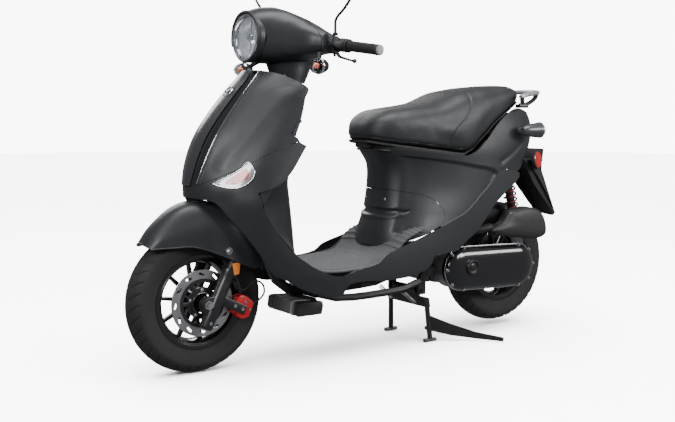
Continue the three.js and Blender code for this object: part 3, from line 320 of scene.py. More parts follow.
# ---------------------------------------------------------------- materials
def set_inputs(target, **sockets):
    """Sets sockets by name, with _ for a space."""
    for socket, value in sockets.items():
        target.inputs[socket.replace("_", " ")].default_value = value


def node(tree, kind, **sockets):
    made = tree.nodes.new("ShaderNode" + kind)
    set_inputs(made, **sockets)
    return made


def surface(name, color, rough, metal=0.0, grain=None, mottle=0.12, coat=0.0, specular=0.5, wear=0.1,
            **sockets):
    """A procedural finish: colour and roughness drift at one scale, fine bump grain at another.
    grain is (cells per metre, strength, depth in mm)."""
    look = bpy.data.materials.new(name)
    look.use_nodes = True
    tree = look.node_tree
    shader = tree.nodes["Principled BSDF"]
    link = tree.links.new
    place = node(tree, "TexCoord").outputs["Object"]
    drift = node(tree, "TexNoise", Scale=14, Detail=4)
    link(place, drift.inputs["Vector"])
    tint = node(tree, "MapRange", To_Min=1 - mottle, To_Max=1 + mottle)
    link(drift.outputs["Fac"], tint.inputs["Value"])
    paint = node(tree, "VectorMath")
    paint.operation = "SCALE"
    paint.inputs[0].default_value = color[:3]
    link(tint.outputs["Result"], paint.inputs["Scale"])
    link(paint.outputs["Vector"], shader.inputs["Base Color"])
    smear = node(tree, "TexNoise", Scale=45, Detail=6)
    link(place, smear.inputs["Vector"])
    gloss = node(tree, "MapRange", To_Min=max(rough - wear, 0.02), To_Max=min(rough + wear, 1))
    link(smear.outputs["Fac"], gloss.inputs["Value"])
    link(gloss.outputs["Result"], shader.inputs["Roughness"])
    if grain:
        cells, strength, depth = grain
        fine = node(tree, "TexNoise", Scale=cells, Detail=2)
        link(place, fine.inputs["Vector"])
        bump = node(tree, "Bump", Strength=strength, Distance=depth * MM)
        link(fine.outputs["Fac"], bump.inputs["Height"])
        link(bump.outputs["Normal"], shader.inputs["Normal"])
    set_inputs(shader, Metallic=metal, Specular_IOR_Level=specular, Coat_Weight=coat, Coat_Roughness=0.08)
    set_inputs(shader, **sockets)
    return look


BODY = surface("body_paint", (0.0200, 0.0218, 0.0245), 0.40, grain=(900, 0.10, 0.15), mottle=0.05, wear=0.05,
               specular=0.4)
SPINE = surface("spine_paint", (0.026, 0.027, 0.030), 0.32, grain=(900, 0.06, 0.1), mottle=0.05, coat=0.3)
GLOSS = surface("gloss_black", (0.008, 0.008, 0.009), 0.14, grain=(120, 0.03, 0.1), coat=0.6, wear=0.05)
PLASTIC = surface("grained_plastic", (0.016, 0.016, 0.017), 0.55, grain=(1400, 0.35, 0.2))
SATIN = surface("satin_black", (0.012, 0.012, 0.013), 0.36, grain=(700, 0.12, 0.12), coat=0.15)
FRAME = surface("frame_black", (0.010, 0.010, 0.011), 0.42, grain=(500, 0.2, 0.15))
RUBBER = surface("grip_rubber", (0.013, 0.013, 0.013), 0.72, grain=(1600, 0.4, 0.2))
TYRE = surface("tyre_rubber", (0.016, 0.016, 0.0165), 0.78, grain=(600, 0.3, 0.3), mottle=0.25)
CHROME = surface("chrome", (0.74, 0.75, 0.77), 0.10, metal=1, grain=(60, 0.02, 0.1), mottle=0.03, wear=0.04)
STEEL = surface("ground_steel", (0.46, 0.46, 0.47), 0.33, metal=1, grain=(420, 0.25, 0.1), mottle=0.1)
ALLOY = surface("cast_alloy", (0.36, 0.36, 0.37), 0.48, metal=0.9, grain=(420, 0.5, 0.4), mottle=0.15)
RAIL = surface("silver_paint", (0.42, 0.43, 0.45), 0.38, metal=0.65, grain=(900, 0.1, 0.1), mottle=0.05)
GREY = surface("grey_plastic", (0.085, 0.087, 0.090), 0.55, grain=(1100, 0.3, 0.25))
GUNMETAL = surface("gunmetal", (0.060, 0.062, 0.066), 0.34, metal=0.3, grain=(900, 0.1, 0.1), coat=0.3)
RED = surface("caliper_red", (0.52, 0.006, 0.010), 0.35, grain=(500, 0.25, 0.2), coat=0.3)
SPRING = surface("spring_red", (0.16, 0.014, 0.014), 0.42, grain=(500, 0.2, 0.1), coat=0.2)
AMBER = surface("amber_lens", (0.80, 0.22, 0.03), 0.22, grain=(300, 0.2, 0.3), coat=0.5, mottle=0.2)
RED_LENS = surface("red_lens", (0.48, 0.006, 0.008), 0.16, grain=(260, 0.25, 0.4), coat=0.7, mottle=0.2)
BULB = surface("bulb_rose", (0.75, 0.20, 0.12), 0.25, grain=(200, 0.1, 0.2), coat=0.5)
LENS = surface("clear_lens", (0.96, 0.98, 1.0), 0.04, grain=(60, 0.04, 0.3), wear=0.02, mottle=0.01,
               Transmission_Weight=1.0, IOR=1.18)
MAT = surface("floor_mat", (0.070, 0.073, 0.078), 0.7, mottle=0.08)
PEARL = surface("pearl_reflector", (0.30, 0.30, 0.315), 0.22, 0.5, grain=(120, 0.05, 0.2), mottle=0.18,
                coat=1.0)
BOWL = surface("bowl_silver", (0.80, 0.80, 0.82), 0.20, 0.5, grain=(120, 0.05, 0.2), mottle=0.1)
ROSE = surface("rose_reflector", (0.27, 0.050, 0.045), 0.22, 0.2, grain=(160, 0.1, 0.3), mottle=0.35,
               coat=1.0)
VINYL = surface("seat_vinyl", (0.016, 0.017, 0.0185), 0.50, grain=(1000, 0.55, 0.35), mottle=0.08, wear=0.08)


def stipple(look, cells, strength, depth):
    """Raised dots, as on a moulded floor mat or pebbled vinyl."""
    tree = look.node_tree
    shader = tree.nodes["Principled BSDF"]
    dots = node(tree, "TexVoronoi", Scale=cells)
    tree.links.new(node(tree, "TexCoord").outputs["Object"], dots.inputs["Vector"])
    rise = node(tree, "MapRange", From_Min=0.25, From_Max=0.5, To_Min=1, To_Max=0)
    tree.links.new(dots.outputs["Distance"], rise.inputs["Value"])
    bump = node(tree, "Bump", Strength=strength, Distance=depth * MM)
    tree.links.new(rise.outputs["Result"], bump.inputs["Height"])
    for wire in list(tree.links):
        if wire.to_socket == shader.inputs["Normal"]:
            tree.links.new(wire.from_socket, bump.inputs["Normal"])
    tree.links.new(bump.outputs["Normal"], shader.inputs["Normal"])


stipple(MAT, 190, 0.8, 1.2)
stipple(VINYL, 900, 0.25, 0.2)

CAD_LOOKS = {
    "frame_main": FRAME, "frame_rear": FRAME, "steering_stem": FRAME, "handlebar": SATIN,
    "centre_stand": FRAME,
    "shock_upper": FRAME, "shock_lower": STEEL, "seat_pan": PLASTIC, "storage_bucket": PLASTIC,
    "fuel_tank": PLASTIC,
    "battery": PLASTIC, "engine_case": ALLOY, "cylinder": ALLOY, "inner_shield": PLASTIC,
    "headlight_bowl": CHROME,
    "fork_sliders": SATIN, "brake_disc": STEEL, "muffler": FRAME,
}


for node_name, look in CAD_LOOKS.items():
    nodes[node_name].data.materials.clear()
    nodes[node_name].data.materials.append(look)


# ---------------------------------------------------------------- wheels
TYRE_SEGMENTS, TREAD_BLOCKS, SPOKES = 432, 36, 10
DISC_SLOTS, DISC_ARMS, DISC_BOLTS = 12, 6, 5


def wheel(prefix, centre, body):
    outer = [(129.6, 32), (134, 36), (146, 39), (160, 42), (176, 44.6), (188, 44.8), (198, 40), (206, 32.5),
             (211.5, 22), (214.8, 11), (215.8, 0)]
    half = catmull(outer, 34)
    profile = np.concatenate([half, (half * (1, -1))[::-1][1:],
                              [(129.6, -24), (150, -30), (150, 30), (129.6, 24)]])
    verts, faces = ring_lathe(profile, centre, Y_AXIS, TYRE_SEGMENTS)
    radius_of = profile[:, 0].repeat(TYRE_SEGMENTS)
    across = profile[:, 1].repeat(TYRE_SEGMENTS)
    turn = np.tile(np.arange(TYRE_SEGMENTS) / TYRE_SEGMENTS, len(profile))
    lane = np.abs(across)
    sweep = (turn * TREAD_BLOCKS + lane / 46 + 0.5 * (across > 0)) % 1
    groove = (sweep < 0.2) & (lane > 7) & (lane < 41) & (radius_of > 190)
    groove |= (lane > 17.5) & (lane < 20) & (radius_of > 200)
    ribs = (radius_of > 150) & (radius_of < 176) & ((radius_of % 9) < 3)
    depth = np.where(groove, -3.6, 0) + np.where(ribs, -0.7, 0)
    c = np.array(centre, float)
    radial = (verts - c) * (1, 0, 1)
    verts = verts + radial / np.linalg.norm(radial, axis=1, keepdims=True) * depth[:, None]
    piece(f"{prefix}_tyre_rubber", [(verts, faces)], TYRE, body, [f"{prefix}_tyre"], angle=40)

    barrel = [(142, 40.2), (142.3, 38.6), (140.5, 37.4), (135, 35), (129.3, 33.4), (129.3, -33.4), (135, -35),
              (140.5, -37.4), (142.3, -38.6), (142, -40.2), (139.5, -40.4), (131, -37.5), (123, -35),
              (118, -25),
              (113, 0), (118, 25), (123, 35), (131, 37.5), (139.5, 40.4)]
    low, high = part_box(f"{prefix}_rim")
    hub_low, hub_high = low[1] / MM, high[1] / MM
    hub = [(11, hub_low), (26, hub_low), (29, hub_low + 3), (33, -10), (33, 10), (29, hub_high - 3),
           (26, hub_high),
           (11, hub_high)]
    parts = [ring_lathe(barrel, centre, Y_AXIS, 128), ring_lathe(hub, centre, Y_AXIS, 48)]
    for k in range(SPOKES):
        angle = TURN * k / SPOKES + 0.16
        spoke = slab([(24, -8.5), (60, -6), (119, -4.6), (119, 4.6), (60, 6), (24, 8.5)], 19,
                     lambda u, v, d, a=angle: np.stack([c[0] + u * math.cos(a) - v * math.sin(a), d - 9.5,
                                                        c[2] + u * math.sin(a) + v * math.cos(a)], 1), 2.5)
        parts.append(spoke)
    piece(f"{prefix}_rim_cast", parts, GLOSS, body, [f"{prefix}_rim"])


wheel("front", FRONT_AXLE, "front_wheel")
wheel("rear", REAR_AXLE, "rear_wheel")


def polar(radius, angle, y, centre=FRONT_AXLE):
    return (centre[0] + radius * math.cos(angle), y, centre[2] + radius * math.sin(angle))


def slot_cutter(radius, angle, length, width):
    """A rounded slot through the disc, its length round the axle."""
    outline = []
    for k in range(16):
        t = TURN * k / 16
        u = width / 2 * math.cos(t)
        v = width / 2 * math.sin(t) + math.copysign((length - width) / 2, math.sin(t + 1e-3))
        outline.append((radius + u, v))
    turn = angle + 0.35
    pts = [(FRONT_AXLE[0] + radius * math.cos(angle) + (u - radius) * math.cos(turn) - v * math.sin(turn),
            FRONT_AXLE[2] + radius * math.sin(angle) + (u - radius) * math.sin(turn) + v * math.cos(turn))
           for u, v in outline]
    return prism(pts, 40, 70)


disc = ring_lathe([(70, 50.5), (99.4, 50.5), (100, 51.1), (100, 53.9), (99.4, 54.5), (70, 54.5)],
                  FRONT_AXLE, Y_AXIS, 128)
slots = [slot_cutter(86, TURN * k / DISC_SLOTS, 21, 7.5) for k in range(DISC_SLOTS)]
carved_piece("disc_ring", [disc], STEEL, "front_wheel", remove=slots, stands_for=["brake_disc"],
             rounded=0)
carrier = [ring_lathe([(30, 49.5), (48, 49.5), (48, 54.5), (30, 54.5)], FRONT_AXLE, Y_AXIS, 64),
           ring_lathe([(62, 50.2), (73, 50.2), (73, 54.9), (62, 54.9)], FRONT_AXLE, Y_AXIS, 96)]
for k in range(DISC_ARMS):
    a = TURN * k / DISC_ARMS
    arm = slab([(44, -7), (66, -5), (66, 5), (44, 7)], 4.5,
               lambda u, v, d, a=a: np.stack([FRONT_AXLE[0] + u * math.cos(a) - v * math.sin(a), 50.2 + d,
                                              FRONT_AXLE[2] + u * math.sin(a) + v * math.cos(a)], 1), 0.6)
    carrier.append(arm)
piece("disc_carrier", carrier, SATIN, "front_wheel")
piece("disc_bolts", [bolt(polar(40, TURN * k / DISC_BOLTS + 0.3, 54.4), Y_AXIS, 4.5, 5, ROUND_HEAD)
                      for k in range(DISC_BOLTS)]
      + [ring_lathe([(30, 54), (33, 54), (33, 56.6), (30, 56.6)], FRONT_AXLE, Y_AXIS, 64)],
      CHROME, "front_wheel")


# ---------------------------------------------------------------- front fork
LEG_Y = 85
AXLE_U, AXLE_W = 24.8, 229


def fork_parts(side):
    y = side * LEG_Y
    leg = lathe([(0, 160), (14, 161), (19, 165), (20.5, 171), (20.5, 300), (19.6, 306), (19.6, 332),
                 (21, 336),
                 (21, 349), (19, 351), (0, 351)], (0, y, 0), UP, 48)
    lug = slab([(0, 192), (16, 196), (34, 206), (46, 222), (46, 238), (34, 250), (14, 262), (0, 268)], 25,
               side_on(y - 12.5), 2.5, smooth=30)
    return [leg, lug]


legs = [raked(p) for side in (1, -1) for p in fork_parts(side)]
axle = raked(lathe([(0, -110), (8.3, -110), (8.3, 98), (0, 98)], (AXLE_U, 0, AXLE_W), Y_AXIS, 32))
lug = raked(block((-104, 80.5, 244), (-17, 88, 272), 2))
piece("fork_legs", legs + [axle, lug], SATIN, "fork", ["fork_sliders"])
nuts = [raked(bolt((AXLE_U, 97, AXLE_W), Y_AXIS, 10.5, 13)),
        raked(bolt((AXLE_U, -97, AXLE_W), (0, -1, 0), 10.5, 13))]
nuts += [raked(bolt((-92 + 28 * k, 88, 258), Y_AXIS, 4.2, 5)) for k in range(2)]
nuts.append(raked(bolt((0, 105, 182), Y_AXIS, 4, 3)))
piece("fork_bolts", nuts, CHROME, "fork")
reflector = slab([(551, 337), (578, 333), (572, 299), (556, 301)], 4, side_on(104.5), 1.2)
piece("fork_reflector", [reflector], AMBER, "fork")

lobes = [(-122, 240), (-108, 231), (-92, 232), (-82, 240), (-72, 236), (-64, 244), (-62, 262), (-66, 284),
         (-76, 296), (-90, 299), (-104, 295), (-118, 293), (-126, 280), (-127, 258)]
shoe = slab(lobes, 24, side_on(57), 5, smooth=60)
inner = slab(lobes, 4, side_on(44.5), 1, smooth=60)
pots = [lathe([(0, 74), (16, 74), (17, 76), (17, 79.2), (14, 80), (0, 80)], (-96, 0, w), Y_AXIS,
              40) for w in (249, 281)]
bridge = [block((-127, 45, w - 7), (-112, 78, w + 7), 2) for w in (250, 282)]
piece("caliper_shoe", [raked(p) for p in [shoe, inner, *pots, *bridge]], RED, "fork", ["brake_caliper"])
pins = [bolt((-96, 79, w), Y_AXIS, 5, 4) for w in (249, 281)] + [bolt((-120, 79, 266), Y_AXIS, 4, 4)]
piece("caliper_bolts", [raked(p) for p in pins], STEEL, "fork")
hose = tube([(-122, 68, 286), (-140, 70, 300), (-148, 74, 330), (-128, 78, 352), (-96, 80, 350),
             (-80, 84, 322),
             (-56, 92, 308), (-30, 96, 330)], 3.2, 12, 40)
piece("caliper_hose", [raked(hose)], RUBBER, "fork")

FENDER_ROWS = [
    [(822, 0, 400), (819, 24, 397), (812, 42, 391), (806, 50, 386)],
    [(795, 0, 437), (792, 30, 431), (783, 54, 412), (779, 60, 388)],
    [(757, 0, 472), (753, 36, 464), (741, 62, 432), (737, 67, 388)],
    [(715, 0, 500), (711, 40, 491), (700, 68, 445), (692, 72, 388)],
    [(672, 0, 514), (668, 44, 504), (655, 75, 455), (640, 82, 374)],
    [(618, 0, 515), (612, 48, 505), (605, 88, 450), (597, 106, 355)],
    [(566, 0, 500), (560, 50, 490), (552, 96, 440), (552, 110, 334)],
    [(517, 0, 468), (511, 50, 460), (505, 92, 405), (508, 104, 316)],
    [(466, 0, 424), (461, 44, 417), (458, 70, 375), (464, 78, 310)],
    [(440, 0, 392), (438, 44, 386), (444, 60, 350), (452, 66, 300)],
]
fender_grid = smooth_grid(symmetric(FENDER_ROWS), 72, 72)
piece("fender_shell", [thick(fender_grid, 3)], BODY, "steering", ["fender"], angle=50)
rim_path = np.concatenate([fender_grid[:, -1][::-1], fender_grid[0][::-1][1:-1], fender_grid[:, 0]])
piece("fender_edge", [tube(rim_path[::2] * (1, 0.985, 1), 2.4, 10)], BODY, "steering", angle=60)
piece("fender_bolt", both([bolt((588, 106, 372), Y_AXIS, 5, 3), ring_lathe(
    [(8, 104), (10.5, 104), (10.5, 108), (8, 108)], (588, 0, 372), Y_AXIS, 40)]), CHROME, "steering")


# ---------------------------------------------------------------- handlebar
GRIP_INNER = np.array((222, 195, 973.5))
GRIP_AXIS = np.array((-22, 130, -17.5)) / np.linalg.norm((-22, 130, -17.5))


def grip_parts():
    profile = [(11.6, 6), (17.5, 6.5), (17.5, 9.5), (15.2, 10.5)]
    for k in range(26):
        h = 12 + 4 * k
        profile += [(15.2, h), (16.3, h + 0.7), (16.3, h + 2.3), (15.2, h + 3)]
    profile += [(15.2, 117), (16.6, 118), (16.6, 125), (15.6, 127), (11.6, 127)]
    return ring_lathe(profile, GRIP_INNER, GRIP_AXIS, 40)


def bar_end():
    return lathe([(0, 126.5), (14.6, 126.5), (15.6, 128), (15.6, 131), (12, 134), (0, 134.2)], GRIP_INNER,
                 GRIP_AXIS, 40)


piece("grip_left_rubber", [grip_parts()], RUBBER, "steering", ["left_grip"])
piece("grip_right_rubber", [mirrored(grip_parts())], RUBBER, "throttle", ["throttle_grip"])
piece("bar_end_left", [bar_end()], RAIL, "steering")
piece("bar_end_right", [mirrored(bar_end())], RAIL, "throttle")

LEVER_PIN = np.array((264, 176, 955))
LEVER_AXIS = np.array((0.446, 0.19, 0.874)) / np.linalg.norm((0.446, 0.19, 0.874))


def lever_parts():
    stations = [(264, 167, 954.5, 9.5, 4.6), (265, 186, 953.5, 9, 4.6), (269, 204, 948.5, 7.5, 4.6),
                (277, 225, 940, 6.2, 4.2), (280, 262, 931.5, 4.8, 3.8), (277, 294, 924.5, 4, 3.4)]
    loops = []
    for x, y, z, a, b in stations:
        loops.append([(x + a * math.cos(t), y, z + b * math.sin(t)) for t in np.linspace(0, TURN, 12, False)])
    blade = smooth_loft(loops, 24, 40)
    return [blade, ball((275.8, 300, 924), 6.9)]


piece("lever_left_blade", lever_parts(), SATIN, "lever_left", ["brake_lever_left"])
piece("lever_right_blade", [mirrored(p) for p in lever_parts()], SATIN, "lever_right", ["brake_lever_right"])


def control_parts():
    base = [(20.4, -33.5), (21, -30), (21, -17), (20.3, -16.4), (20.3, -15.6), (21, -15), (21, 0),
            (19, 2), (12.4, 2),
            (12.4, -33.5)]
    pod = ring_lathe(base, GRIP_INNER, GRIP_AXIS, 48)
    perch = slab([(224, 967), (250, 966), (270, 969), (276, 976), (272, 985), (258, 988), (224, 987)], 31,
                 side_on(162), 3, smooth=40)
    post = lathe([(0, -2), (9, -2), (9, 17), (8, 19.5), (0, 19.5)], (262, 182, 982), UP, 32)
    pin = lathe([(0, -14), (4, -14), (4, 16), (0, 16)], LEVER_PIN, LEVER_AXIS, 24)
    return [pod, perch, post, pin]


piece("control_left_pod", control_parts(), PLASTIC, "steering", ["control_left"])
piece("control_right_pod", [mirrored(p) for p in control_parts()], PLASTIC, "steering", ["control_right"])
piece("control_screws", both([bolt((262, 170, 988), UP, 3.2, 2.5)]), STEEL, "steering")


def button_part():
    return lathe([(0, 0.2), (5.4, 0.2), (5.8, 1), (5.8, 12), (0, 12)], (197, 177, 980), (1, 0, 0), 32)


piece("horn_cap", [button_part()], AMBER, "horn", ["horn_button"])
piece("start_cap", [mirrored(button_part())], AMBER, "start", ["start_button"])

MIRROR_CENTRE = (255, 338, 1212)
MIRROR_ANGLE = 0.25
MIRROR_TILT = np.array([(1, 0, 0), (0, math.cos(MIRROR_ANGLE), math.sin(MIRROR_ANGLE)),
                        (0, -math.sin(MIRROR_ANGLE), math.cos(MIRROR_ANGLE))])


def mirror_parts():
    stem = tube([(262, 182, 1003.5), (262, 182, 1030), (262, 183.5, 1048), (261, 191, 1058), (258, 222, 1080),
                 (256, 258, 1112), (255, 290, 1140), (254, 322, 1180)], 4.3, 14, 60)
    nut = bolt((262, 182, 1003.4), UP, 8, 9)
    shell, faces = ball((0, 0, 0), 49.5, (0.24, 1, 0.84), 40)
    shell = np.where(shell[:, :1] < -4, shell * (0, 1, 1) + (-4, 0, 0), shell)
    return [stem, nut, (shell @ MIRROR_TILT + MIRROR_CENTRE, faces)]


def mirror_glass():
    face, faces = ball((0, 0, 0), 45, (0.02, 1, 0.84), 40)
    return face @ MIRROR_TILT + np.array(MIRROR_CENTRE) + (-4.6, 0, 0), faces


piece("mirror_left_arm", mirror_parts(), SATIN, "left_mirror", ["mirror_left"])
piece("mirror_right_arm", [mirrored(p) for p in mirror_parts()], SATIN, "right_mirror", ["mirror_right"])
piece("mirror_left_glass", [mirror_glass()], CHROME, "left_mirror")
piece("mirror_right_glass", [mirrored(mirror_glass())], CHROME, "right_mirror")


# ---------------------------------------------------------------- headlight nacelle
LAMP_X, LAMP_Z, LAMP_TILT = 462, 1000, 0.06
NACELLE = [(0, 212, 494, 921, 1095), (34, 211, 488, 924, 1091), (62, 209, 466, 931, 1080),
           (88, 207, 414, 942, 1058),
           (108, 207, 358, 948, 1040), (132, 208, 318, 951, 1027), (158, 212, 296, 953, 1014)]


def nacelle_loop(y, rear, front, low, high, count=56):
    cx, cz, a, b = (rear + front) / 2, (low + high) / 2, (front - rear) / 2, (high - low) / 2
    loop = []
    for k in range(count):
        t = TURN * k / count
        x, z = (math.copysign(abs(v) ** 0.72, v) for v in (math.cos(t), math.sin(t)))
        x = cx + a * x
        behind = min(max((cx + 20 - x) / a, 0), 1)
        rise = b * z
        loop.append((x, y, cz + rise * (1 - 0.48 * behind if rise > 0 else 1)))
    return loop


mirrored_stations = [(-s[0], *s[1:]) for s in NACELLE[:0:-1]] + NACELLE
fine = catmull(mirrored_stations, 60)
nacelle_solid = loft([nacelle_loop(*s) for s in fine])


def neck_part():
    levels = [(975, 315, 98, 66), (930, 312, 80, 52), (895, 312, 66, 50), (864, 314, 52, 48)]
    loops = [[(cx + a * math.cos(t), b * math.sin(t), z) for t in np.linspace(0, TURN, 48, False)]
             for z, cx, a, b in catmull(levels, 16)]
    return loft(loops)


def lamp_part(profile, segments=64):
    verts, faces = lathe(profile, (0, 0, 0), (1, 0, 0), segments)
    return lamp_place(verts), faces


def lamp_place(verts):
    verts = verts * (1, 1, 0.93)
    c, s = math.cos(LAMP_TILT), math.sin(LAMP_TILT)
    return verts @ np.array([(c, 0, s), (0, 1, 0), (-s, 0, c)]) + (LAMP_X, 0, LAMP_Z)


def lamp_ring(profile, segments=96):
    verts, faces = ring_lathe(profile, (0, 0, 0), (1, 0, 0), segments)
    return lamp_place(verts), faces


def half_space(x0, x1):
    return block((x0, -300, 800), (x1, 300, 1200), 0.01)


pocket = lamp_part([(0, -62), (78, -62), (78, 80), (0, 80)])
bores = [tube([(248, side * 100, 981), (222, side * 195, 973.5)], 13.5, 32) for side in (1, -1)]
for label, x0, x1 in (("front", 296.6, 600), ("rear", 100, 295.4)):
    shell = carved_piece(f"nacelle_{label}_shell", [nacelle_solid], BODY, None, keep=[half_space(x0, x1)],
                         remove=[pocket] + bores, rounded=0.8)
    finish_piece(shell, "steering", [f"nacelle_{label}"])
carved_piece("nacelle_neck", [neck_part()], BODY, "steering", remove=[nacelle_solid], rounded=0.6)


lens = lamp_ring([(75.5, -8), (75.5, -5), (73, 0.5), (68, 6.5), (60, 13), (49, 19), (34, 24), (16, 26.5),
                  (0.5, 27),
                  (0.5, 24.5), (16, 24), (33, 21.5), (47.5, 16.5), (58, 10.5), (66, 4), (71, -2), (72.5, -8)])
piece("headlight_glass", [lens], LENS, "steering", ["headlight_lens"])
trim = lamp_ring([(77.4, -14), (77.4, 3), (76, 6.5), (73, 8.5), (70.5, 7.5), (70.5, 6), (73.5, 5),
                  (75.8, 1), (75.8, -14)])
piece("headlight_ring", [trim], CHROME, "steering")
bowl_profile = [(6, -66), (22, -63), (36, -57), (50, -45), (60, -30), (68, -9), (75, -8), (75, -12),
                (69, -13),
                (61, -34), (50, -49), (36, -61), (22, -67), (6, -70)]
BOWL_SEGMENTS = 144
verts, faces = lamp_ring(bowl_profile, BOWL_SEGMENTS)
flutes = np.tile(np.arange(BOWL_SEGMENTS), len(bowl_profile))
inner_face = np.arange(len(verts)) // BOWL_SEGMENTS < 6
lamp_centre = np.array((LAMP_X, 0, LAMP_Z))
pull = (1 - 0.03 * inner_face * np.abs(np.sin(flutes * math.pi / 24)))[:, None]
verts = (verts - lamp_centre) * np.c_[np.ones(len(verts)), pull, pull] + lamp_centre
piece("headlight_reflector", [(verts, faces)], BOWL, "steering", ["headlight_bowl"], angle=40)
bulb = [lamp_part([(0, -60), (9, -60), (9, -44), (7, -40), (7, -24), (4, -19), (0, -18)], 32)]
piece("headlight_bulb", bulb, LENS, "steering")
shade = [lamp_part([(0, -16), (12, -16), (14, -13), (12, -10), (0, -8)], 40),
         tube(lamp_place(np.array([(-16, 0, v) for v in np.linspace(-64, 64, 9)])), 1.6, 10, 16)]
piece("headlight_shade", shade, CHROME, "steering")
bezel = lamp_ring([(77.8, -20), (80.6, -18), (81.6, -6), (81.2, 1), (79.6, 3.5), (77.8, 2)])
piece("headlight_bezel", [bezel], BODY, "steering")
brow_path = lamp_place(np.array([(5 + 5 * math.sin(t) ** 2, 81.0 * math.cos(t), 80.0 * math.sin(t))
                                 for t in np.linspace(-0.35, math.pi + 0.35, 60)]))
piece("headlight_brow", [tube(brow_path, 2.2 + 3.4 * np.sin(np.linspace(0, math.pi, 60)) ** 0.7, 16)],
      PLASTIC, "steering")
piece("neck_screw", both([bolt((352, 37, 886), (0.62, 0.76, -0.2), 4.2, 3)]), STEEL, "steering")


SIGNAL_AT, SIGNAL_AXIS = (348, 222, 911), (1, 0.12, -0.02)


def signal_parts():
    x, y, z = SIGNAL_AT
    body = lathe([(0, -30), (10, -30), (15, -27), (20, -18), (23.6, -4), (24, 0), (0, 0)], SIGNAL_AT,
                 SIGNAL_AXIS, 48)
    stalk = tube([(x - 14, y - 8, z + 6), (330, 196, 926), (308, 162, 946)], [8.5, 7.5, 9.5], 20, 16)
    return [body, stalk]


def signal_lens():
    return ring_lathe([(23.6, 1), (23.4, 8), (20.5, 18), (14, 27), (6, 31.5), (0.5, 32.5), (0.5, 30.5),
                       (6, 29.4),
                       (13, 25.4), (19, 17), (21.8, 7.5), (22, 1)], SIGNAL_AT, SIGNAL_AXIS, 64)


def signal_ring():
    return ring_lathe([(21.8, -2), (25, -2), (25.4, 1), (24.4, 3.4), (21.8, 3.4)], SIGNAL_AT, SIGNAL_AXIS, 64)


def signal_bulb():
    return [lathe([(0, 2), (8, 2), (9.5, 6), (9.5, 14), (6, 20), (0, 22)], SIGNAL_AT, SIGNAL_AXIS, 32)]


for label, side in HANDS:
    turn = mirrored if side < 0 else (lambda p: p)
    piece(f"bar_signal_{label}_pod", [turn(p) for p in signal_parts()], SATIN, "steering",
          [f"bar_signal_{label}"])
    piece(f"bar_signal_{label}_lens", [turn(signal_lens())], LENS, "steering")
    piece(f"bar_signal_{label}_ring", [turn(signal_ring())], CHROME, "steering")
    piece(f"bar_signal_{label}_bulb", [turn(p) for p in signal_bulb()], BULB, "steering")


# ---------------------------------------------------------------- front bodywork
FRONT_ROWS = [
    [(440, 0, 916), (432, 42, 915), (405, 88, 912), (372, 125, 905), (330, 156, 896), (280, 172, 890),
     (225, 180, 885)],
    [(483, 0, 874), (474, 42, 874), (447, 85, 874), (408, 122, 872), (362, 154, 868), (305, 174, 864),
     (250, 184, 860)],
    [(518, 0, 840), (508, 42, 840), (480, 84, 840), (436, 123, 840), (384, 158, 838), (325, 178, 836),
     (270, 188, 834)],
    [(572, 0, 780), (560, 42, 780), (526, 84, 780), (474, 125, 780), (420, 162, 780), (355, 184, 780),
     (300, 192, 780)],
    [(622, 0, 714), (608, 42, 714), (570, 84, 714), (516, 126, 714), (462, 165, 714), (400, 188, 714),
     (340, 196, 714)],
    [(649, 0, 660), (635, 42, 660), (598, 84, 660), (548, 128, 660), (498, 168, 660), (432, 190, 660),
     (370, 198, 660)],
    [(667, 0, 604), (654, 42, 604), (624, 84, 604), (582, 126, 604), (536, 166, 604), (470, 191, 604),
     (410, 199, 604)],
    [(674, 0, 558), (662, 42, 558), (638, 84, 558), (602, 124, 558), (560, 160, 558), (502, 191, 558),
     (440, 199, 558)],
    [(668, 0, 516), (659, 42, 516), (638, 84, 516), (606, 120, 516), (574, 154, 516), (520, 190, 516),
     (460, 199, 516)],
    [(650, 0, 468), (644, 42, 468), (630, 84, 468), (602, 120, 468), (568, 154, 468), (520, 186, 468),
     (450, 197, 468)],
    [(636, 0, 420), (630, 42, 420), (614, 84, 420), (586, 124, 420), (552, 160, 420), (500, 187, 420),
     (420, 197, 420)],
    [(612, 0, 360), (606, 42, 360), (590, 90, 360), (560, 134, 360), (520, 168, 360), (460, 190, 360),
     (360, 196, 360)],
    [(580, 0, 300), (572, 50, 300), (550, 104, 300), (516, 146, 300), (468, 176, 300), (400, 190, 300),
     (280, 193, 300)],
    [(540, 0, 250), (530, 60, 250), (500, 120, 250), (452, 158, 250), (390, 180, 250), (300, 188, 250),
     (200, 190, 250)],
    [(500, 0, 205), (490, 60, 205), (450, 125, 205), (390, 162, 205), (320, 178, 205), (250, 183, 205),
     (150, 184, 205)],
]
SEAM = [(700, 553), (664, 562), (627, 583), (563, 616), (514, 643), (472, 663), (430, 682), (396, 690)]
APRON_REAR = [[(374, 677), (396, 645), (424, 606), (452, 578), (480, 561), (531, 545)],
              [(531, 545), (522, 508), (499, 457), (467, 416), (417, 361), (348, 313), (306, 292), (263, 277),
               (233, 276)]]
APRON_FRONT = [(233, 217), (285, 215), (323, 224), (381, 247), (425, 273), (480, 302), (519, 361), (563, 424),
               (596, 470), (628, 515), (652, 523), (700, 527)]
PANEL_REAR = [(420, 714), (402, 742), (380, 779), (363, 818), (349, 845), (372, 866), (395, 880), (420, 893),
              (470, 906), (560, 912)]
EYE = [(632, 571), (612, 583), (584, 602), (560, 620), (545, 634), (535, 620), (535, 596), (552, 572),
       (580, 558), (610, 560)]


def run(points, per=5, dx=0.0, dz=0.0):
    return [(x + dx, z + dz) for x, z in catmull(points, per * (len(points) - 1))]


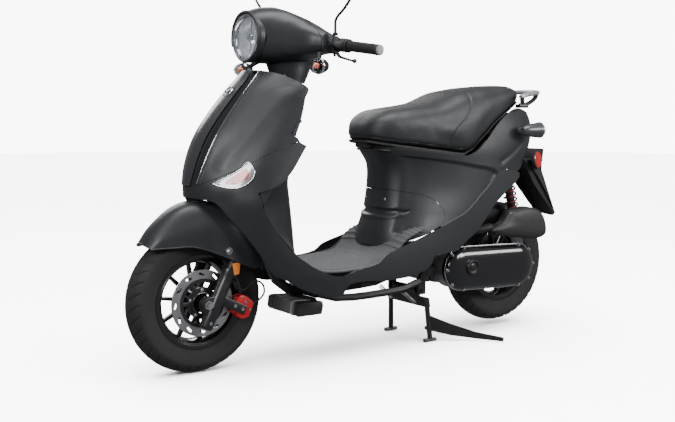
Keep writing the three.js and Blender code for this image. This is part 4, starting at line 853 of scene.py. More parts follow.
def distance_to(points, line):
    """Distance in a side view from each (x, z) to a polyline."""
    best = np.full(len(points), 1e9)
    for a, b in zip(line[:-1], line[1:]):
        a, b = np.array(a), np.array(b)
        along = np.clip(((points - a) @ (b - a)) / np.dot(b - a, b - a), 0, 1)
        best = np.minimum(best, np.linalg.norm(points - a - along[:, None] * (b - a), axis=1))
    return best


def within(points, outline):
    x, z = points.T
    inside = np.zeros(len(points), bool)
    for (x0, z0), (x1, z1) in zip(outline, outline[1:] + outline[:1]):
        crosses = (z0 > z) != (z1 > z)
        inside ^= crosses & (x < (x1 - x0) * (z - z0) / (z1 - z0 + 1e-9) + x0)
    return inside


def eye_outline(grow):
    centre = np.array((566, 588))
    pts = catmull(EYE, 64, closed=True) - centre
    return [tuple(p) for p in centre + pts * (1 + grow / np.linalg.norm(pts, axis=1, keepdims=True))]


def skin_at(grid, x, z, inward=0.0):
    """The point of a skin's left half at a place of the side view, by a plane fitted to its neighbours."""
    points = grid.reshape(-1, 3)
    points = points[points[:, 1] > 50]
    near = points[np.argsort((points[:, 0] - x) ** 2 + (points[:, 2] - z) ** 2)[:9]]
    offsets = np.c_[np.ones(9), near[:, 0] - x, near[:, 2] - z]
    return x, np.linalg.lstsq(offsets, near[:, 1], rcond=None)[0][0] - inward, z


front_grid = smooth_grid(symmetric(FRONT_ROWS), 96, 130)
flat = front_grid[..., [0, 2]].reshape(-1, 2)
CREASE = run([(372, 843), (383, 832), (424, 818), (469, 777), (528, 704), (583, 646), (600, 618)], 6)
ridge = np.clip(1 - distance_to(flat, CREASE) / 26, 0, 1).reshape(front_grid.shape[:2])
away = np.clip((np.abs(front_grid[..., 1]) - 45) / 30, 0, 1)
front_grid = front_grid - normals_of(front_grid) * (-3.2 * ridge * away)[..., None]
front_skin = thick(front_grid, -PANEL_WALL)
eyes = [prism(eye_outline(1.4), 40, 270), prism(eye_outline(1.4), -270, -40)]
panel_outline = run(SEAM, dz=0.6) + [(400, 700)] + run(PANEL_REAR) + [(720, 880)]
carved_piece("front_panel_skin", [front_skin], BODY, "frame",
             keep=[prism(panel_outline, -CUT_REACH, CUT_REACH)], remove=eyes,
             stands_for=["front_panel"])
apron_outline = run(SEAM, dz=-0.6) + run(APRON_REAR[0]) + run(APRON_REAR[1]) + run(APRON_FRONT)
carved_piece("leg_shield_skin", [front_skin], BODY, "frame",
             keep=[prism(apron_outline, -CUT_REACH, CUT_REACH)], remove=eyes,
             stands_for=["leg_shield"])
EYE_PATCH = [(602, 578), (580, 595), (562, 609), (552, 615), (548, 600), (558, 582), (582, 570), (604, 569)]
glass = thick(front_grid - normals_of(front_grid) * 1.4, -2)
bulb_zone = thick(front_grid - normals_of(front_grid) * 0.5, -2)
rim = [skin_at(front_grid, x, z) for x, z in eye_outline(-1.9)]
for label, side in HANDS:
    low, high = sorted((side * 40, side * 270))
    carved_piece(f"eye_{label}_glass", [glass], PEARL, "frame", keep=[prism(eye_outline(-3.4), low, high)],
                 stands_for=[f"eye_lens_{label}"], rounded=0)
    piece(f"eye_{label}_rim", [tube(np.array(rim) * (1, side, 1), 1.7, 10, 160, closed=True)], CHROME,
          "frame",
          angle=60)
    carved_piece(f"eye_{label}_bulb", [bulb_zone], ROSE, "frame", keep=[prism(run(EYE_PATCH, 4), low, high)],
                 rounded=0.5)

STRIPE_ROWS = [
    [(462, 0, 902), (459, 26, 901)], [(483, 0, 878), (479, 34, 877)], [(518, 0, 842), (513, 38, 842)],
    [(572, 0, 781), (566, 40, 781)], [(622, 0, 714), (615, 40, 714)], [(649, 0, 660), (642, 38, 660)],
    [(667, 0, 604), (660, 34, 604)], [(674, 0, 562), (669, 26, 562)],
]
stripe_grid = smooth_grid(symmetric([[(x + 5, y, z) for x, y, z in row] for row in STRIPE_ROWS]), 28, 90)
piece("front_stripe_trim", [thick(stripe_grid, -2.5)], SPINE, "frame", ["front_stripe"],
      angle=50)
for label, side in HANDS:
    hem = stripe_grid[2:-2, -1 if side > 0 else 0] + (-5, 0, 0)
    spots = front_grid[..., 1] * side > 0
    skin = front_grid[spots]
    ways = normals_of(front_grid)[spots]
    for kind, offset, width, lift, look, slot in (("groove", 8, 6.5, 0.5, GLOSS, "gloss_black"),
                                                  ("line", 18, 1.3, 1.1, CHROME, "chrome"),
                                                  ("ridge", 25, 2.6, 0.2, BODY, "body_matte")):
        strip = []
        for point in hem:
            row = []
            for across in (-1, -0.5, 0, 0.5, 1):
                target = point + (0, side * (offset + across * width), 0)
                gaps = np.abs(skin - target) @ (0, 1, 1)
                near = np.argsort(gaps)[:4]
                weight = 1 / (gaps[near] + 0.2)
                rise = lift + 0.8 * (1 - across * across) * (kind != "groove")
                row.append(((skin[near] + ways[near] * rise) * weight[:, None]).sum(0) / weight.sum())
            strip.append(row)
        path = np.array(strip)
        for _ in range(3):
            path[1:-1] = (path[:-2] + 2 * path[1:-1] + path[2:]) / 4
        piece(f"stripe_{label}_{kind}", [thick(path, -2)], look, "frame", angle=60)

badge_at, badge_axis = (527, 0, 836), (0.78, 0, 0.62)
piece("badge_ring", [ring_lathe([(15.5, -1), (20, -1), (20.4, 1.5), (18.6, 3.2), (16.4, 3.2),
                                 (15.5, 1.8)], badge_at,
                                badge_axis, 72)], CHROME, "frame")
piece("badge_disc", [lathe([(0, -1), (15.4, -1), (15.4, 1.0), (8, 1.6), (0, 1.8)], badge_at, badge_axis,
                           72)], GLOSS,
      "frame")


# ---------------------------------------------------------------- rear bodywork
BODY_ROWS = [
    [(18, 0, 800), (8, 58, 800), (-42, 96, 800), (-125, 118, 800), (-220, 122, 800), (-330, 118, 800),
     (-440, 106, 800), (-540, 92, 796), (-630, 72, 790), (-672, 38, 788), (-682, 0, 788)],
    [(14, 0, 720), (4, 60, 720), (-42, 102, 720), (-122, 130, 720), (-220, 138, 720), (-330, 136, 720),
     (-450, 124, 720), (-560, 110, 720), (-650, 84, 720), (-697, 44, 720), (-706, 0, 720)],
    [(12, 0, 656), (1, 60, 656), (-44, 106, 656), (-122, 135, 655), (-220, 147, 652), (-330, 148, 650),
     (-445, 138, 650), (-550, 118, 648), (-640, 86, 646), (-688, 42, 644), (-698, 0, 644)],
    [(-19, 0, 600), (-29, 55, 600), (-68, 100, 600), (-135, 128, 600), (-225, 144, 600), (-330, 149, 598),
     (-435, 142, 596), (-530, 122, 592), (-612, 90, 590), (-655, 42, 588), (-662, 0, 588)],
    [(-23, 0, 520), (-32, 58, 520), (-69, 102, 520), (-132, 128, 520), (-222, 144, 520), (-320, 152, 518),
     (-420, 146, 512), (-505, 128, 508), (-572, 98, 502), (-605, 44, 500), (-610, 0, 500)],
    [(-9, 0, 440), (-20, 62, 440), (-57, 110, 440), (-122, 140, 440), (-205, 154, 440), (-300, 158, 436),
     (-385, 152, 432), (-455, 134, 428), (-505, 100, 424), (-530, 44, 420), (-535, 0, 420)],
    [(8, 0, 380), (-2, 66, 380), (-38, 118, 380), (-100, 152, 380), (-175, 162, 378), (-255, 162, 372),
     (-320, 154, 368), (-370, 136, 364), (-400, 100, 360), (-420, 44, 358), (-425, 0, 358)],
    [(20, 0, 325), (8, 68, 325), (-28, 122, 325), (-88, 158, 325), (-150, 166, 322), (-210, 162, 318),
     (-260, 150, 314), (-300, 130, 310), (-325, 96, 306), (-340, 44, 304), (-345, 0, 304)],
]
COVER_SEAM = [(60, 528), (20, 526), (-60, 516), (-135, 500), (-178, 478), (-200, 452), (-204, 425),
              (-196, 404)]
SILL = [(-181, 398), (-240, 418), (-291, 438), (-330, 464), (-358, 488), (-435, 547), (-449, 567),
        (-500, 574),
        (-566, 560)]
BODY_TOP = [(60, 664), (22, 660), (-60, 653), (-215, 634), (-285, 626), (-340, 640), (-400, 680), (-460, 727),
            (-520, 764), (-570, 782), (-600, 784), (-660, 770), (-760, 740)]
INSET = [(97, 650), (-27, 637), (-195, 618), (-329, 597), (-444, 566), (-408, 505), (-265, 383)]
TAIL_GROOVE = [(-470, 600), (-560, 640), (-640, 690), (-700, 726)]


def near_line(grid, line, reach):
    """1 on a side-view line, fading to 0 at reach."""
    points = grid[..., [0, 2]].reshape(-1, 2)
    return np.clip(1 - distance_to(points, line) / reach, 0, 1).reshape(grid.shape[:2])


def ease(t):
    return t * t * (3 - 2 * t)


body_grid = smooth_grid(symmetric(BODY_ROWS), 200, 130)
points = body_grid[..., [0, 2]].reshape(-1, 2)
inset_line = run(INSET, 8)
inside = within(points, inset_line + [(97, 383)]).reshape(body_grid.shape[:2])
depth = np.where(inside, ease(np.clip(1 - near_line(body_grid, inset_line, 9), 0, 1)), 0)
side_only = ease(np.clip((np.abs(body_grid[..., 1]) - 92) / 26, 0, 1))
sunk = 7.5 * depth * side_only
sunk = sunk + 4.0 * ease(near_line(body_grid, run(TAIL_GROOVE), 16)) * np.clip(
    (np.abs(body_grid[..., 1]) - 40) / 30, 0, 1)
crescent = [(70, 463), (49, 465), (10, 462), (-60, 458), (-96, 456), (-66, 443), (-17, 432), (37, 435),
            (70, 440)]
dark = within(points, crescent).reshape(body_grid.shape[:2]) & (np.abs(body_grid[..., 1]) < 130)
sunk = sunk + np.where(dark, 7 * ease(1 - near_line(body_grid, crescent, 8)), 0)
lip = ease(near_line(body_grid, [(-60, 441), (-20, 428), (40, 432)], 9)) * (np.abs(body_grid[..., 1]) < 120)
body_grid = body_grid + normals_of(body_grid) * (-(sunk - 2.2 * lip))[..., None]
body_skin = thick(body_grid, -PANEL_WALL)
top_run = run(BODY_TOP, 4)
under_tail = [(-760, 604), (-650, 608), (-609, 575)]
for label, low, high in (("left", 0.6, CUT_REACH), ("right", -CUT_REACH, -0.6)):
    outline = top_run + under_tail + run(SILL[1:])[::-1] + run(COVER_SEAM)[::-1]
    lamp_gap = block((-760, -62.5, 640), (-640, 62.5, 770), 0.01)
    hook = block((6, -45, 648), (60, 45, 700), 0.01)
    carved_piece(f"body_{label}_skin", [body_skin], BODY, "frame", keep=[prism(outline, low, high)],
                 remove=[lamp_gap, hook], stands_for=[f"body_side_{label}"])
cover_outline = run(COVER_SEAM, dx=0.9, dz=-1.2) + [(-150, 385), (-60, 356), (0, 338), (60, 330)]
carved_piece("front_cover_skin", [body_skin], BODY, "frame",
             keep=[prism(cover_outline, -CUT_REACH, CUT_REACH)],
             stands_for=["front_cover"])
piece("cover_screws", [bolt((-27, 52, 486), (0.9, 0.42, 0), 4, 2.5, ROUND_HEAD),
                       bolt((-27, -52, 486), (0.9, -0.42, 0), 4, 2.5, ROUND_HEAD)],
      STEEL, "frame")

SKIRT_XS = (280, 150, 50, -50, -150, -250, -350, -450, -560)
SKIRT_YS = [(200, (181, 180, 176, 170, 160, 152, 146, 138, 128)),
            (250, (186, 185, 182, 177, 168, 160, 152, 144, 132)),
            (310, (187, 186, 182, 177, 171, 164, 155, 146, 134)),
            (390, (187, 184, 176, 172, 168, 164, 158, 149, 136)),
            (480, (185, 180, 172, 166, 164, 162, 157, 148, 134)),
            (600, (180, 174, 166, 162, 160, 158, 154, 144, 130))]
skirt_rows = [[(x, y, z) for x, y in zip(SKIRT_XS, ys)] for z, ys in SKIRT_YS]
upper = run([(232, 276), (180, 289), (100, 302), (67, 324), (0, 345), (-55, 361), (-120, 380)] + SILL, 4,
            -0.6, -0.9)
lower = run([(-560, 544), (-532, 522), (-484, 494), (-420, 450), (-375, 404), (-330, 364), (-292, 342),
             (-242, 311),
             (-221, 309)], 4) + run([(-142, 304), (-122, 271), (-60, 250), (61, 243), (160, 250), (212, 243),
                                     (232, 217)], 4)
skirt_skin = thick(smooth_grid(skirt_rows, 110, 70), 3)
carved_piece("skirt_left_skin", [skirt_skin], BODY, "frame", keep=[prism(upper + lower, 60, CUT_REACH)],
             stands_for=["side_skirt_left"])
carved_piece("skirt_right_skin", [mirrored(skirt_skin)], BODY, "frame",
             keep=[prism(upper + lower, -CUT_REACH, -60)],
             stands_for=["side_skirt_right"])

MAT_ROWS = [
    [(394, 0, 346), (394, 60, 346), (394, 120, 346), (394, 166, 346)],
    [(350, 0, 318), (350, 60, 318), (350, 120, 318), (350, 171, 317)],
    [(306, 0, 304), (306, 60, 303), (306, 120, 300), (306, 174, 296)],
    [(256, 0, 300), (256, 60, 299), (256, 120, 295), (256, 175, 289)],
    [(141, 0, 304), (141, 60, 303), (141, 120, 298), (141, 172, 291)],
    [(49, 0, 316), (49, 60, 315), (49, 120, 312), (49, 168, 305)],
    [(10, 0, 336), (10, 60, 336), (10, 120, 334), (10, 164, 328)],
    [(-30, 0, 372), (-30, 60, 372), (-30, 120, 371), (-30, 162, 364)],
    [(-80, 0, 398), (-80, 60, 398), (-80, 120, 397), (-80, 160, 384)],
    [(-112, 0, 404), (-112, 60, 404), (-112, 120, 403), (-112, 160, 394)],
]
mat_grid = smooth_grid(symmetric(MAT_ROWS), 120, 150)
lane = np.abs(mat_grid[..., 1])
along = mat_grid[..., 0]
bead = np.exp(-((lane - 148 + (along - 180) ** 2 / 4200) / 2.2) ** 2) * ((along > 40) & (along < 330))
bead = bead + np.exp(-((along - 60 - lane * 0.25) / 2.4) ** 2) * (lane < 150)
steps = np.exp(-(((along + 112) % 17 - 8.5) / 4.2) ** 2) * 3.2 * (along < 2) * np.clip((lane - 70) / 20, 0, 1)
mat_grid = mat_grid + normals_of(mat_grid) * (-(1.8 * bead + steps))[..., None]
mat_plug = loft(body_grid - normals_of(body_grid) * -1.2)
carved_piece("floor_mat", [thick(mat_grid, 4)], MAT, "frame", remove=[mat_plug, tube(
    [(412, 0, 632), (392, 0, 572), (390, 0, 500), (398, 0, 420), (400, 0, 360), (386, 0, 300), (360, 0, 246),
     (315, 0, 214), (262, 0, 206)], 20, 16, 30)], stands_for=["floorboard"], rounded=0)

INNER_ROWS = [
    [(252, 0, 850), (276, 50, 850), (306, 95, 848), (334, 130, 846), (350, 150, 845)],
    [(262, 0, 790), (298, 55, 790), (330, 100, 788), (356, 140, 786), (372, 166, 784)],
    [(276, 0, 740), (312, 55, 740), (344, 100, 740), (376, 146, 740), (396, 174, 740)],
    [(290, 0, 705), (322, 50, 705), (352, 92, 705), (392, 148, 705), (414, 178, 705)],
    [(300, 0, 684), (328, 50, 684), (354, 92, 684), (384, 142, 684), (396, 178, 685)],
    [(310, 0, 668), (334, 55, 668), (356, 100, 668), (368, 145, 668), (376, 180, 670)],
    [(328, 0, 640), (341, 60, 640), (358, 110, 640), (372, 150, 640), (392, 182, 642)],
    [(350, 0, 600), (357, 60, 600), (374, 105, 600), (402, 145, 600), (430, 182, 602)],
    [(352, 0, 560), (358, 60, 560), (382, 100, 560), (430, 140, 560), (478, 180, 558)],
    [(348, 0, 510), (353, 60, 510), (376, 98, 510), (432, 135, 510), (512, 180, 508)],
    [(342, 0, 450), (347, 60, 450), (368, 98, 450), (420, 135, 450), (488, 181, 450)],
    [(338, 0, 400), (342, 60, 400), (362, 98, 400), (402, 135, 400), (448, 184, 402)],
    [(338, 0, 352), (341, 60, 352), (356, 98, 352), (380, 135, 352), (402, 184, 354)],
]
inner_grid = smooth_grid(symmetric(INNER_ROWS), 80, 110)
piece("inner_shield_skin", [thick(inner_grid, 3)], BODY, "frame", ["inner_shield"], angle=50)
piece("ignition_lock", [lathe([(0, -2), (15, -2), (15, 3), (12, 5), (4, 5), (3.5, 4), (0, 4)], (320, 55, 740),
                              (-0.8, 0.55, 0.1), 40),
                        block((300, 53, 742), (305, 56, 752), 0.6)], STEEL, "frame")


# ---------------------------------------------------------------- seat
SEAT = [(53, 34, 687, 712), (46, 62, 684, 736), (34, 84, 681, 753), (14, 102, 677, 766), (-20, 119, 672, 776),
        (-62, 130, 666, 782), (-110, 137, 660, 788), (-160, 142, 653, 794), (-210, 146, 647, 803),
        (-260, 148, 640, 820), (-310, 148, 635, 838), (-350, 146, 652, 845), (-400, 142, 692, 852),
        (-460, 133, 737, 857), (-520, 120, 772, 861), (-570, 103, 796, 860), (-606, 80, 810, 851),
        (-622, 50, 822, 838)]


def seat_loop(x, half, low, high, shrink=0.0, count=64):
    """Flat underneath, upright sides, a softly crowned top."""
    key = [(0.0, 0.0), (0.5, 0.0), (0.9, 0.0), (0.975, 0.08), (0.99, 0.25), (1, 0.5), (0.95, 0.78),
           (0.8, 0.93),
           (0.45, 0.99), (0, 1.0)]
    right = [(a * (half - shrink), low + shrink * 0.6 + b * (high - low - shrink)) for a, b in key]
    ring = right + [(-y, z) for y, z in right[-2:0:-1]]
    return [(x, y, z) for y, z in catmull(ring, count, closed=True)]


def seat_solid(shrink):
    loops = [seat_loop(*station, shrink) for station in catmull(SEAT, 72)]
    return loft(loops)


SIM_VOXEL, SIM_FRAMES, SIM_PRESSURE, SIM_CAP = 0.006, 20, 4.0, 0.005
TAUT_ROUNDS = 24
SEAT_SHRINK = 4.0


def puffed(obj):
    """Remeshed, blown up by a capped cloth simulation, smoothed taut, and refined once."""
    remesh = obj.modifiers.new("remesh", "REMESH")
    remesh.mode = "VOXEL"
    remesh.voxel_size = SIM_VOXEL
    applied(obj)
    before = np.array([v.co for v in obj.data.vertices])
    cloth = obj.modifiers.new("cloth", "CLOTH")
    cloth.settings.use_pressure = True
    cloth.settings.uniform_pressure_force = SIM_PRESSURE
    cloth.settings.effector_weights.gravity = 0
    cloth.settings.quality = 5
    cloth.point_cache.frame_end = SIM_FRAMES
    for step in range(1, SIM_FRAMES + 1):
        bpy.context.scene.frame_set(step)
    applied(obj)
    bpy.context.scene.frame_set(1)
    after = np.array([v.co for v in obj.data.vertices])
    move = after - before
    length = np.linalg.norm(move, axis=1, keepdims=True)
    after = before + move * np.minimum(1, SIM_CAP / np.maximum(length, 1e-9))
    obj.data.vertices.foreach_set("co", after.ravel())
    taut = obj.modifiers.new("taut", "SMOOTH")
    taut.factor = 0.5
    taut.iterations = TAUT_ROUNDS
    applied(obj)
    refine = obj.modifiers.new("refine", "SUBSURF")
    refine.levels = 1
    applied(obj)


SEAT_SEAM = [(-232, 600), (-232, 637), (-238, 680), (-259, 720), (-299, 753), (-330, 800), (-350, 900)]


def pressed(obj):
    """Sews the seams after the simulation: the join of the two seats and the lower welt."""
    co = np.array([v.co for v in obj.data.vertices]) / MM
    normal = np.array([v.normal for v in obj.data.vertices])
    side = co[:, [0, 2]]
    join = np.exp(-(distance_to(side, run(SEAT_SEAM, 8)) / 3.0) ** 2) * (normal[:, 2] > -0.5)
    base = np.array(SEAT)
    order = np.argsort(base[:, 0])
    low = np.interp(co[:, 0], base[order, 0], base[order, 2])
    welt = np.exp(-((co[:, 2] - low - 13) / 2.6) ** 2) * (normal[:, 2] > -0.6)
    co -= normal * (2.6 * join + 2.0 * welt)[:, None]
    obj.data.vertices.foreach_set("co", (co * MM).ravel())


seat = piece("seat_cushion_cover", [seat_solid(SEAT_SHRINK)], VINYL, None)
puffed(seat)
pressed(seat)
finish_piece(seat, "seat", ["seat_cushion"], angle=60)


# ---------------------------------------------------------------- tail
tail_rows = [
    [(-672, 0, 757), (-668, 28, 757), (-657, 48, 755)],
    [(-700, 0, 740), (-694, 28, 740), (-682, 50, 738)],
    [(-707, 0, 700), (-701, 28, 700), (-688, 51, 700)],
    [(-702, 0, 662), (-696, 28, 662), (-682, 50, 662)],
    [(-692, 0, 650), (-686, 28, 650), (-674, 48, 650)],
]
lens_grid = smooth_grid(symmetric(tail_rows), 60, 50)
flute = 0.5 * np.cos(np.arange(lens_grid.shape[0]) * TURN / 5)[:, None]
rim_fade = np.ones(lens_grid.shape[:2])
rim_fade[:4] = rim_fade[-4:] = 0
rim_fade[:, :3] = rim_fade[:, -3:] = 0
lens_grid = lens_grid - normals_of(lens_grid) * (np.abs(flute) * rim_fade)[..., None]
piece("tail_light_lens", [thick(lens_grid, 14)], RED_LENS, "frame", ["tail_light"], angle=30)


REAR_SIGNAL_AT, REAR_SIGNAL_AXIS = (-560, 146, 706), (-1, 0.055, 0.028)


def rear_signal_parts():
    body = lathe([(0, -2), (12, -2), (17, 4), (21, 18), (24, 40), (26.6, 62), (27.2, 70), (27.2, 76),
                  (0, 76)],
                 REAR_SIGNAL_AT, REAR_SIGNAL_AXIS, 56)
    stalk = tube([(-583, 108, 706), (-586, 126, 706), (-590, 144, 707)], [15, 13.5, 15], 20, 14)
    return [body, stalk]


def rear_signal_cap():
    return lathe([(0, 76), (27.2, 76), (27, 79), (24, 83.5), (16, 87), (8, 88.2), (0, 88.5)],
                 REAR_SIGNAL_AT, REAR_SIGNAL_AXIS, 56)


def rear_signal_ring():
    return ring_lathe([(26, 73.5), (28.2, 73.5), (28.2, 77.5), (26, 77.5)], REAR_SIGNAL_AT,
                      REAR_SIGNAL_AXIS, 64)


for label, side in HANDS:
    turn = mirrored if side < 0 else (lambda p: p)
    carved_piece(f"rear_signal_{label}_pod", [turn(rear_signal_parts()[0])], GUNMETAL, "frame",
                 stands_for=[f"rear_signal_{label}"], rounded=0)
    piece(f"rear_signal_{label}_stalk", [turn(rear_signal_parts()[1])], GUNMETAL, "frame")
    piece(f"rear_signal_{label}_cap", [turn(rear_signal_cap())], LENS, "frame")
    piece(f"rear_signal_{label}_ring", [turn(rear_signal_ring())], RAIL, "frame")

rail_path = [(-716, 0, 842), (-712, 40, 842), (-692, 78, 840), (-648, 108, 837), (-600, 120, 832),
             (-564, 127, 824)]
full_path = [(x, -y, z) for x, y, z in rail_path[::-1]] + rail_path[1:]


def oval(path, wide, tall, spans, sides=20):
    """A bar of oval section whose flat side stays level."""
    pts = catmull(path, spans)
    ends = np.gradient(pts, axis=0)
    t = np.linspace(0, TURN, sides, False)
    loops = []
    for k, (p, d) in enumerate(zip(pts, ends)):
        out = np.cross(d, (0, 0, 1))
        out /= np.linalg.norm(out)
        up = np.cross(out, d / np.linalg.norm(d))
        end = min(k, len(pts) - 1 - k) / 3
        scale = min(1, 0.72 + 0.28 * end)
        loops.append(p + scale * (np.outer(wide * np.cos(t), out) + np.outer(tall * np.sin(t), up)))
    return loft(loops)


piece("grab_rail_bar", [oval(full_path, 11.5, 8.5, 90)], RAIL, "frame", ["grab_rail"])
arms = [oval([(-690, 80, 836), (-660, 98, 818), (-618, 112, 802), (-580, 116, 794)], 9, 7, 24),
        block((-598, 109, 785.5), (-556, 133, 799), 3),
        tube([(-572, 126, 822), (-576, 124, 792)], 8, 16)]
piece("grab_rail_arms", both(arms), SATIN, "frame")
piece("grab_rail_bolts", both([bolt((-588, 121, 799), UP, 4.5, 4), bolt((-566, 121, 799), UP, 4.5, 4)]),
      STEEL, "frame")

flap_rows = [
    [(-664, 0, 592), (-660, 56, 594)], [(-716, 0, 560), (-704, 58, 560)], [(-786, 0, 480), (-766, 58, 482)],
    [(-840, 0, 410), (-812, 54, 416)], [(-864, 0, 378), (-826, 46, 390)],
]
flap_grid = smooth_grid(symmetric([[row[0], tuple(np.mean(row, 0) + (-3, 0, -1)),
                                    row[1]] for row in flap_rows]), 40, 60)
ribs = 1.2 * np.exp(-((np.abs(flap_grid[..., 1]) - 38) / 3) ** 2)
flap_grid = flap_grid + normals_of(flap_grid) * ribs[..., None]
plate = slab([(-50, 556), (50, 556), (50, 636), (-50, 636)], 6,
             lambda u, v, d: np.stack([-752 - 12 * (v - 556) / 80 + d, u, v], 1), 1.2)
piece("plate_flap", [thick(flap_grid, -3), block((-755, -54, 590), (-662, 54, 598), 2), plate], PLASTIC,
      "frame",
      ["plate_bracket"])
sides = [slab([(-664, 590), (-756, 590), (-755, 558), (-832, 392), (-818, 398), (-717, 505)], 3,
              side_on(47), 1)]
piece("plate_cheeks", both(sides), PLASTIC, "frame")
REFLECTOR_AT, REFLECTOR_AXIS = (-712, 66, 597), (-0.35, 0.93, 0.1)
round_reflector = [lathe([(0, 0), (30, 0), (30, 5), (27, 7.4), (14, 8.4), (0, 8.8)], REFLECTOR_AT,
                         REFLECTOR_AXIS, 56)]
piece("side_reflector", both(round_reflector), RED_LENS, "frame")
piece("side_reflector_cup", both([ring_lathe([(29.5, -6), (33, -6), (33, 5.5), (30.5, 6.5), (29.5, 5)],
                                             REFLECTOR_AT, REFLECTOR_AXIS, 56),
                                  tube([REFLECTOR_AT, (-706, 50, 597)], 10, 16)]), PLASTIC, "frame")


# ---------------------------------------------------------------- engine and swing arm
CRANK = (-306, 240)


def stadium(front, rear, count=40):
    t = np.linspace(-math.pi / 2, math.pi / 2, count)
    ahead = [(CRANK[0] + front * math.cos(a), CRANK[1] + front * math.sin(a)) for a in t]
    behind = [(REAR_AXLE[0] - rear * math.cos(a), REAR_AXLE[2] - rear * math.sin(a)) for a in t]
    return ahead + behind


def stadium_loops(levels):
    return loft([[(x, y, z) for x, z in stadium(f, r)] for f, r, y in levels])


cover = stadium_loops([(76, 76, 104.4), (76.8, 76.8, 108), (76.6, 76.6, 116), (74.5, 74.5, 119.5),
                       (73.5, 73.5, 123),
                       (71, 71, 129), (66, 66, 134.5), (58, 58, 139.5), (46, 46, 143.6), (32, 32, 146.4),
                       (18, 18, 147.8),
                       (6, 6, 148.2)])
piece("belt_cover", [cover], GLOSS, "swing_unit", ["cvt_cover"], angle=50)
track = [(x, 119.5, z) for x, z in stadium(75.2, 75.2, 24)]
piece("belt_cover_trim", [tube(np.array(track), 1.7, 10, 140, closed=True)], CHROME, "swing_unit",
      angle=60)
boss = [ring_lathe([(12, 146), (27.5, 146), (27.5, 153), (25, 157), (21.5, 157.6), (20, 153), (12, 151)],
                   (-330, 0, 246), Y_AXIS, 72),
        lathe([(0, 142), (13, 146), (13, 152.4), (11, 153.6), (0, 153.6)], (-330, 0, 246), Y_AXIS, 48)]
piece("kick_boss", boss, SATIN, "swing_unit")
cover_bolts = [bolt((x, 128, z), Y_AXIS, 4.6, 7, ROUND_HEAD) for x, z in stadium(72, 72, 5)]
piece("belt_cover_bolts", cover_bolts, STEEL, "swing_unit")

air_outline = [(-505, 428), (-600, 437), (-662, 413), (-687, 357), (-682, 333), (-642, 321), (-556, 330),
               (-440, 350),
               (-424, 364), (-477, 392)]
air_centre = np.array((-572, 378))
air_pts = np.array(run(air_outline + air_outline[:1], 8))[:-1]
crown = [(1.0, 113), (1.0, 134), (0.985, 143), (0.94, 150), (0.86, 154.5), (0.72, 157.6), (0.5, 159.6),
         (0.25, 160.4),
         (0.05, 160.6)]
air = [loft([[(x, y, z) for x, z in air_centre + (air_pts - air_centre) * scale] for scale, y in crown])]
intake = [tube([(-440, 118, 372), (-400, 104, 366), (-330, 66, 352)], [16, 15, 17], 24, 24)]
piece("air_box_shell", air + intake, PLASTIC, "swing_unit", ["air_box"])
crease_line = [(-462, 149, 374), (-530, 157, 392), (-600, 158.6, 396), (-648, 153, 376), (-668, 146, 350)]
piece("air_box_crease", [tube(crease_line, 2.0, 12, 40)], PLASTIC, "swing_unit")
piece("air_box_screws", [bolt((x, 147, z), Y_AXIS, 3.4, 4, ROUND_HEAD) for x,
                         z in ((-505, 418), (-612, 424), (-668, 346))],
      STEEL, "swing_unit")

CAN_AT = (-392, -112, 226)
can_axis = np.array((-378, 0, 50)) / math.hypot(378, 50)
can = lathe([(0, -2), (20, -2), (38, 2), (48, 10), (51.6, 22), (51.6, 60), (50.6, 61), (51.4, 62),
             (50.2, 300),
             (51, 301), (50, 303), (49.6, 362), (46, 374), (34, 380), (0, 381)], CAN_AT, can_axis, 72)
header = tube([(-136, -54, 285), (-132, -85, 284), (-140, -122, 268), (-176, -130, 234), (-260, -126, 206),
               (-340, -116, 212), (-400, -112, 228)], 12.6, 24, 90)
tip = ring_lathe([(12, 376), (15.6, 376), (15.8, 404), (14.6, 406), (12, 404)], CAN_AT, can_axis, 48)
piece("muffler_can", [can, header], FRAME, "swing_unit", ["muffler"])
piece("muffler_tip", [tip, ring_lathe([(48, 360), (50.4, 360), (50.4, 366), (48, 366)], CAN_AT, can_axis,
                                      72)],
      CHROME, "swing_unit")
shield_rows = []
for h in (40, 90, 160, 230, 280):
    half = 0.75 if h in (40, 280) else 1.0
    centre = np.array(CAN_AT) + can_axis * h
    arc = [centre + 53.2 * (np.array((0, -1, 0)) * math.cos(a) + np.array((-can_axis[2], 0, can_axis[0])) *
                            -math.sin(a)) for a in np.linspace(-half, half, 7)]
    shield_rows.append([(p[0], max(p[1], -164.8), p[2]) for p in arc])
piece("muffler_shield", [thick(smooth_grid(shield_rows, 24, 40), 1.5)], PLASTIC, "swing_unit")

fins = [slab([(-228 + 10 * k, 238), (-224 + 10 * k, 238), (-224 + 10 * k, 324), (-228 + 10 * k, 324)], 100,
             side_on(-50), 1.2) for k in range(8)]
head = [block((-234.6, -38, 246), (-130, 38, 314), 4), block((-146, -44, 242), (-118.5, 44, 318), 5)]
piece("cylinder_fins", fins + head, ALLOY, "swing_unit", ["cylinder"])


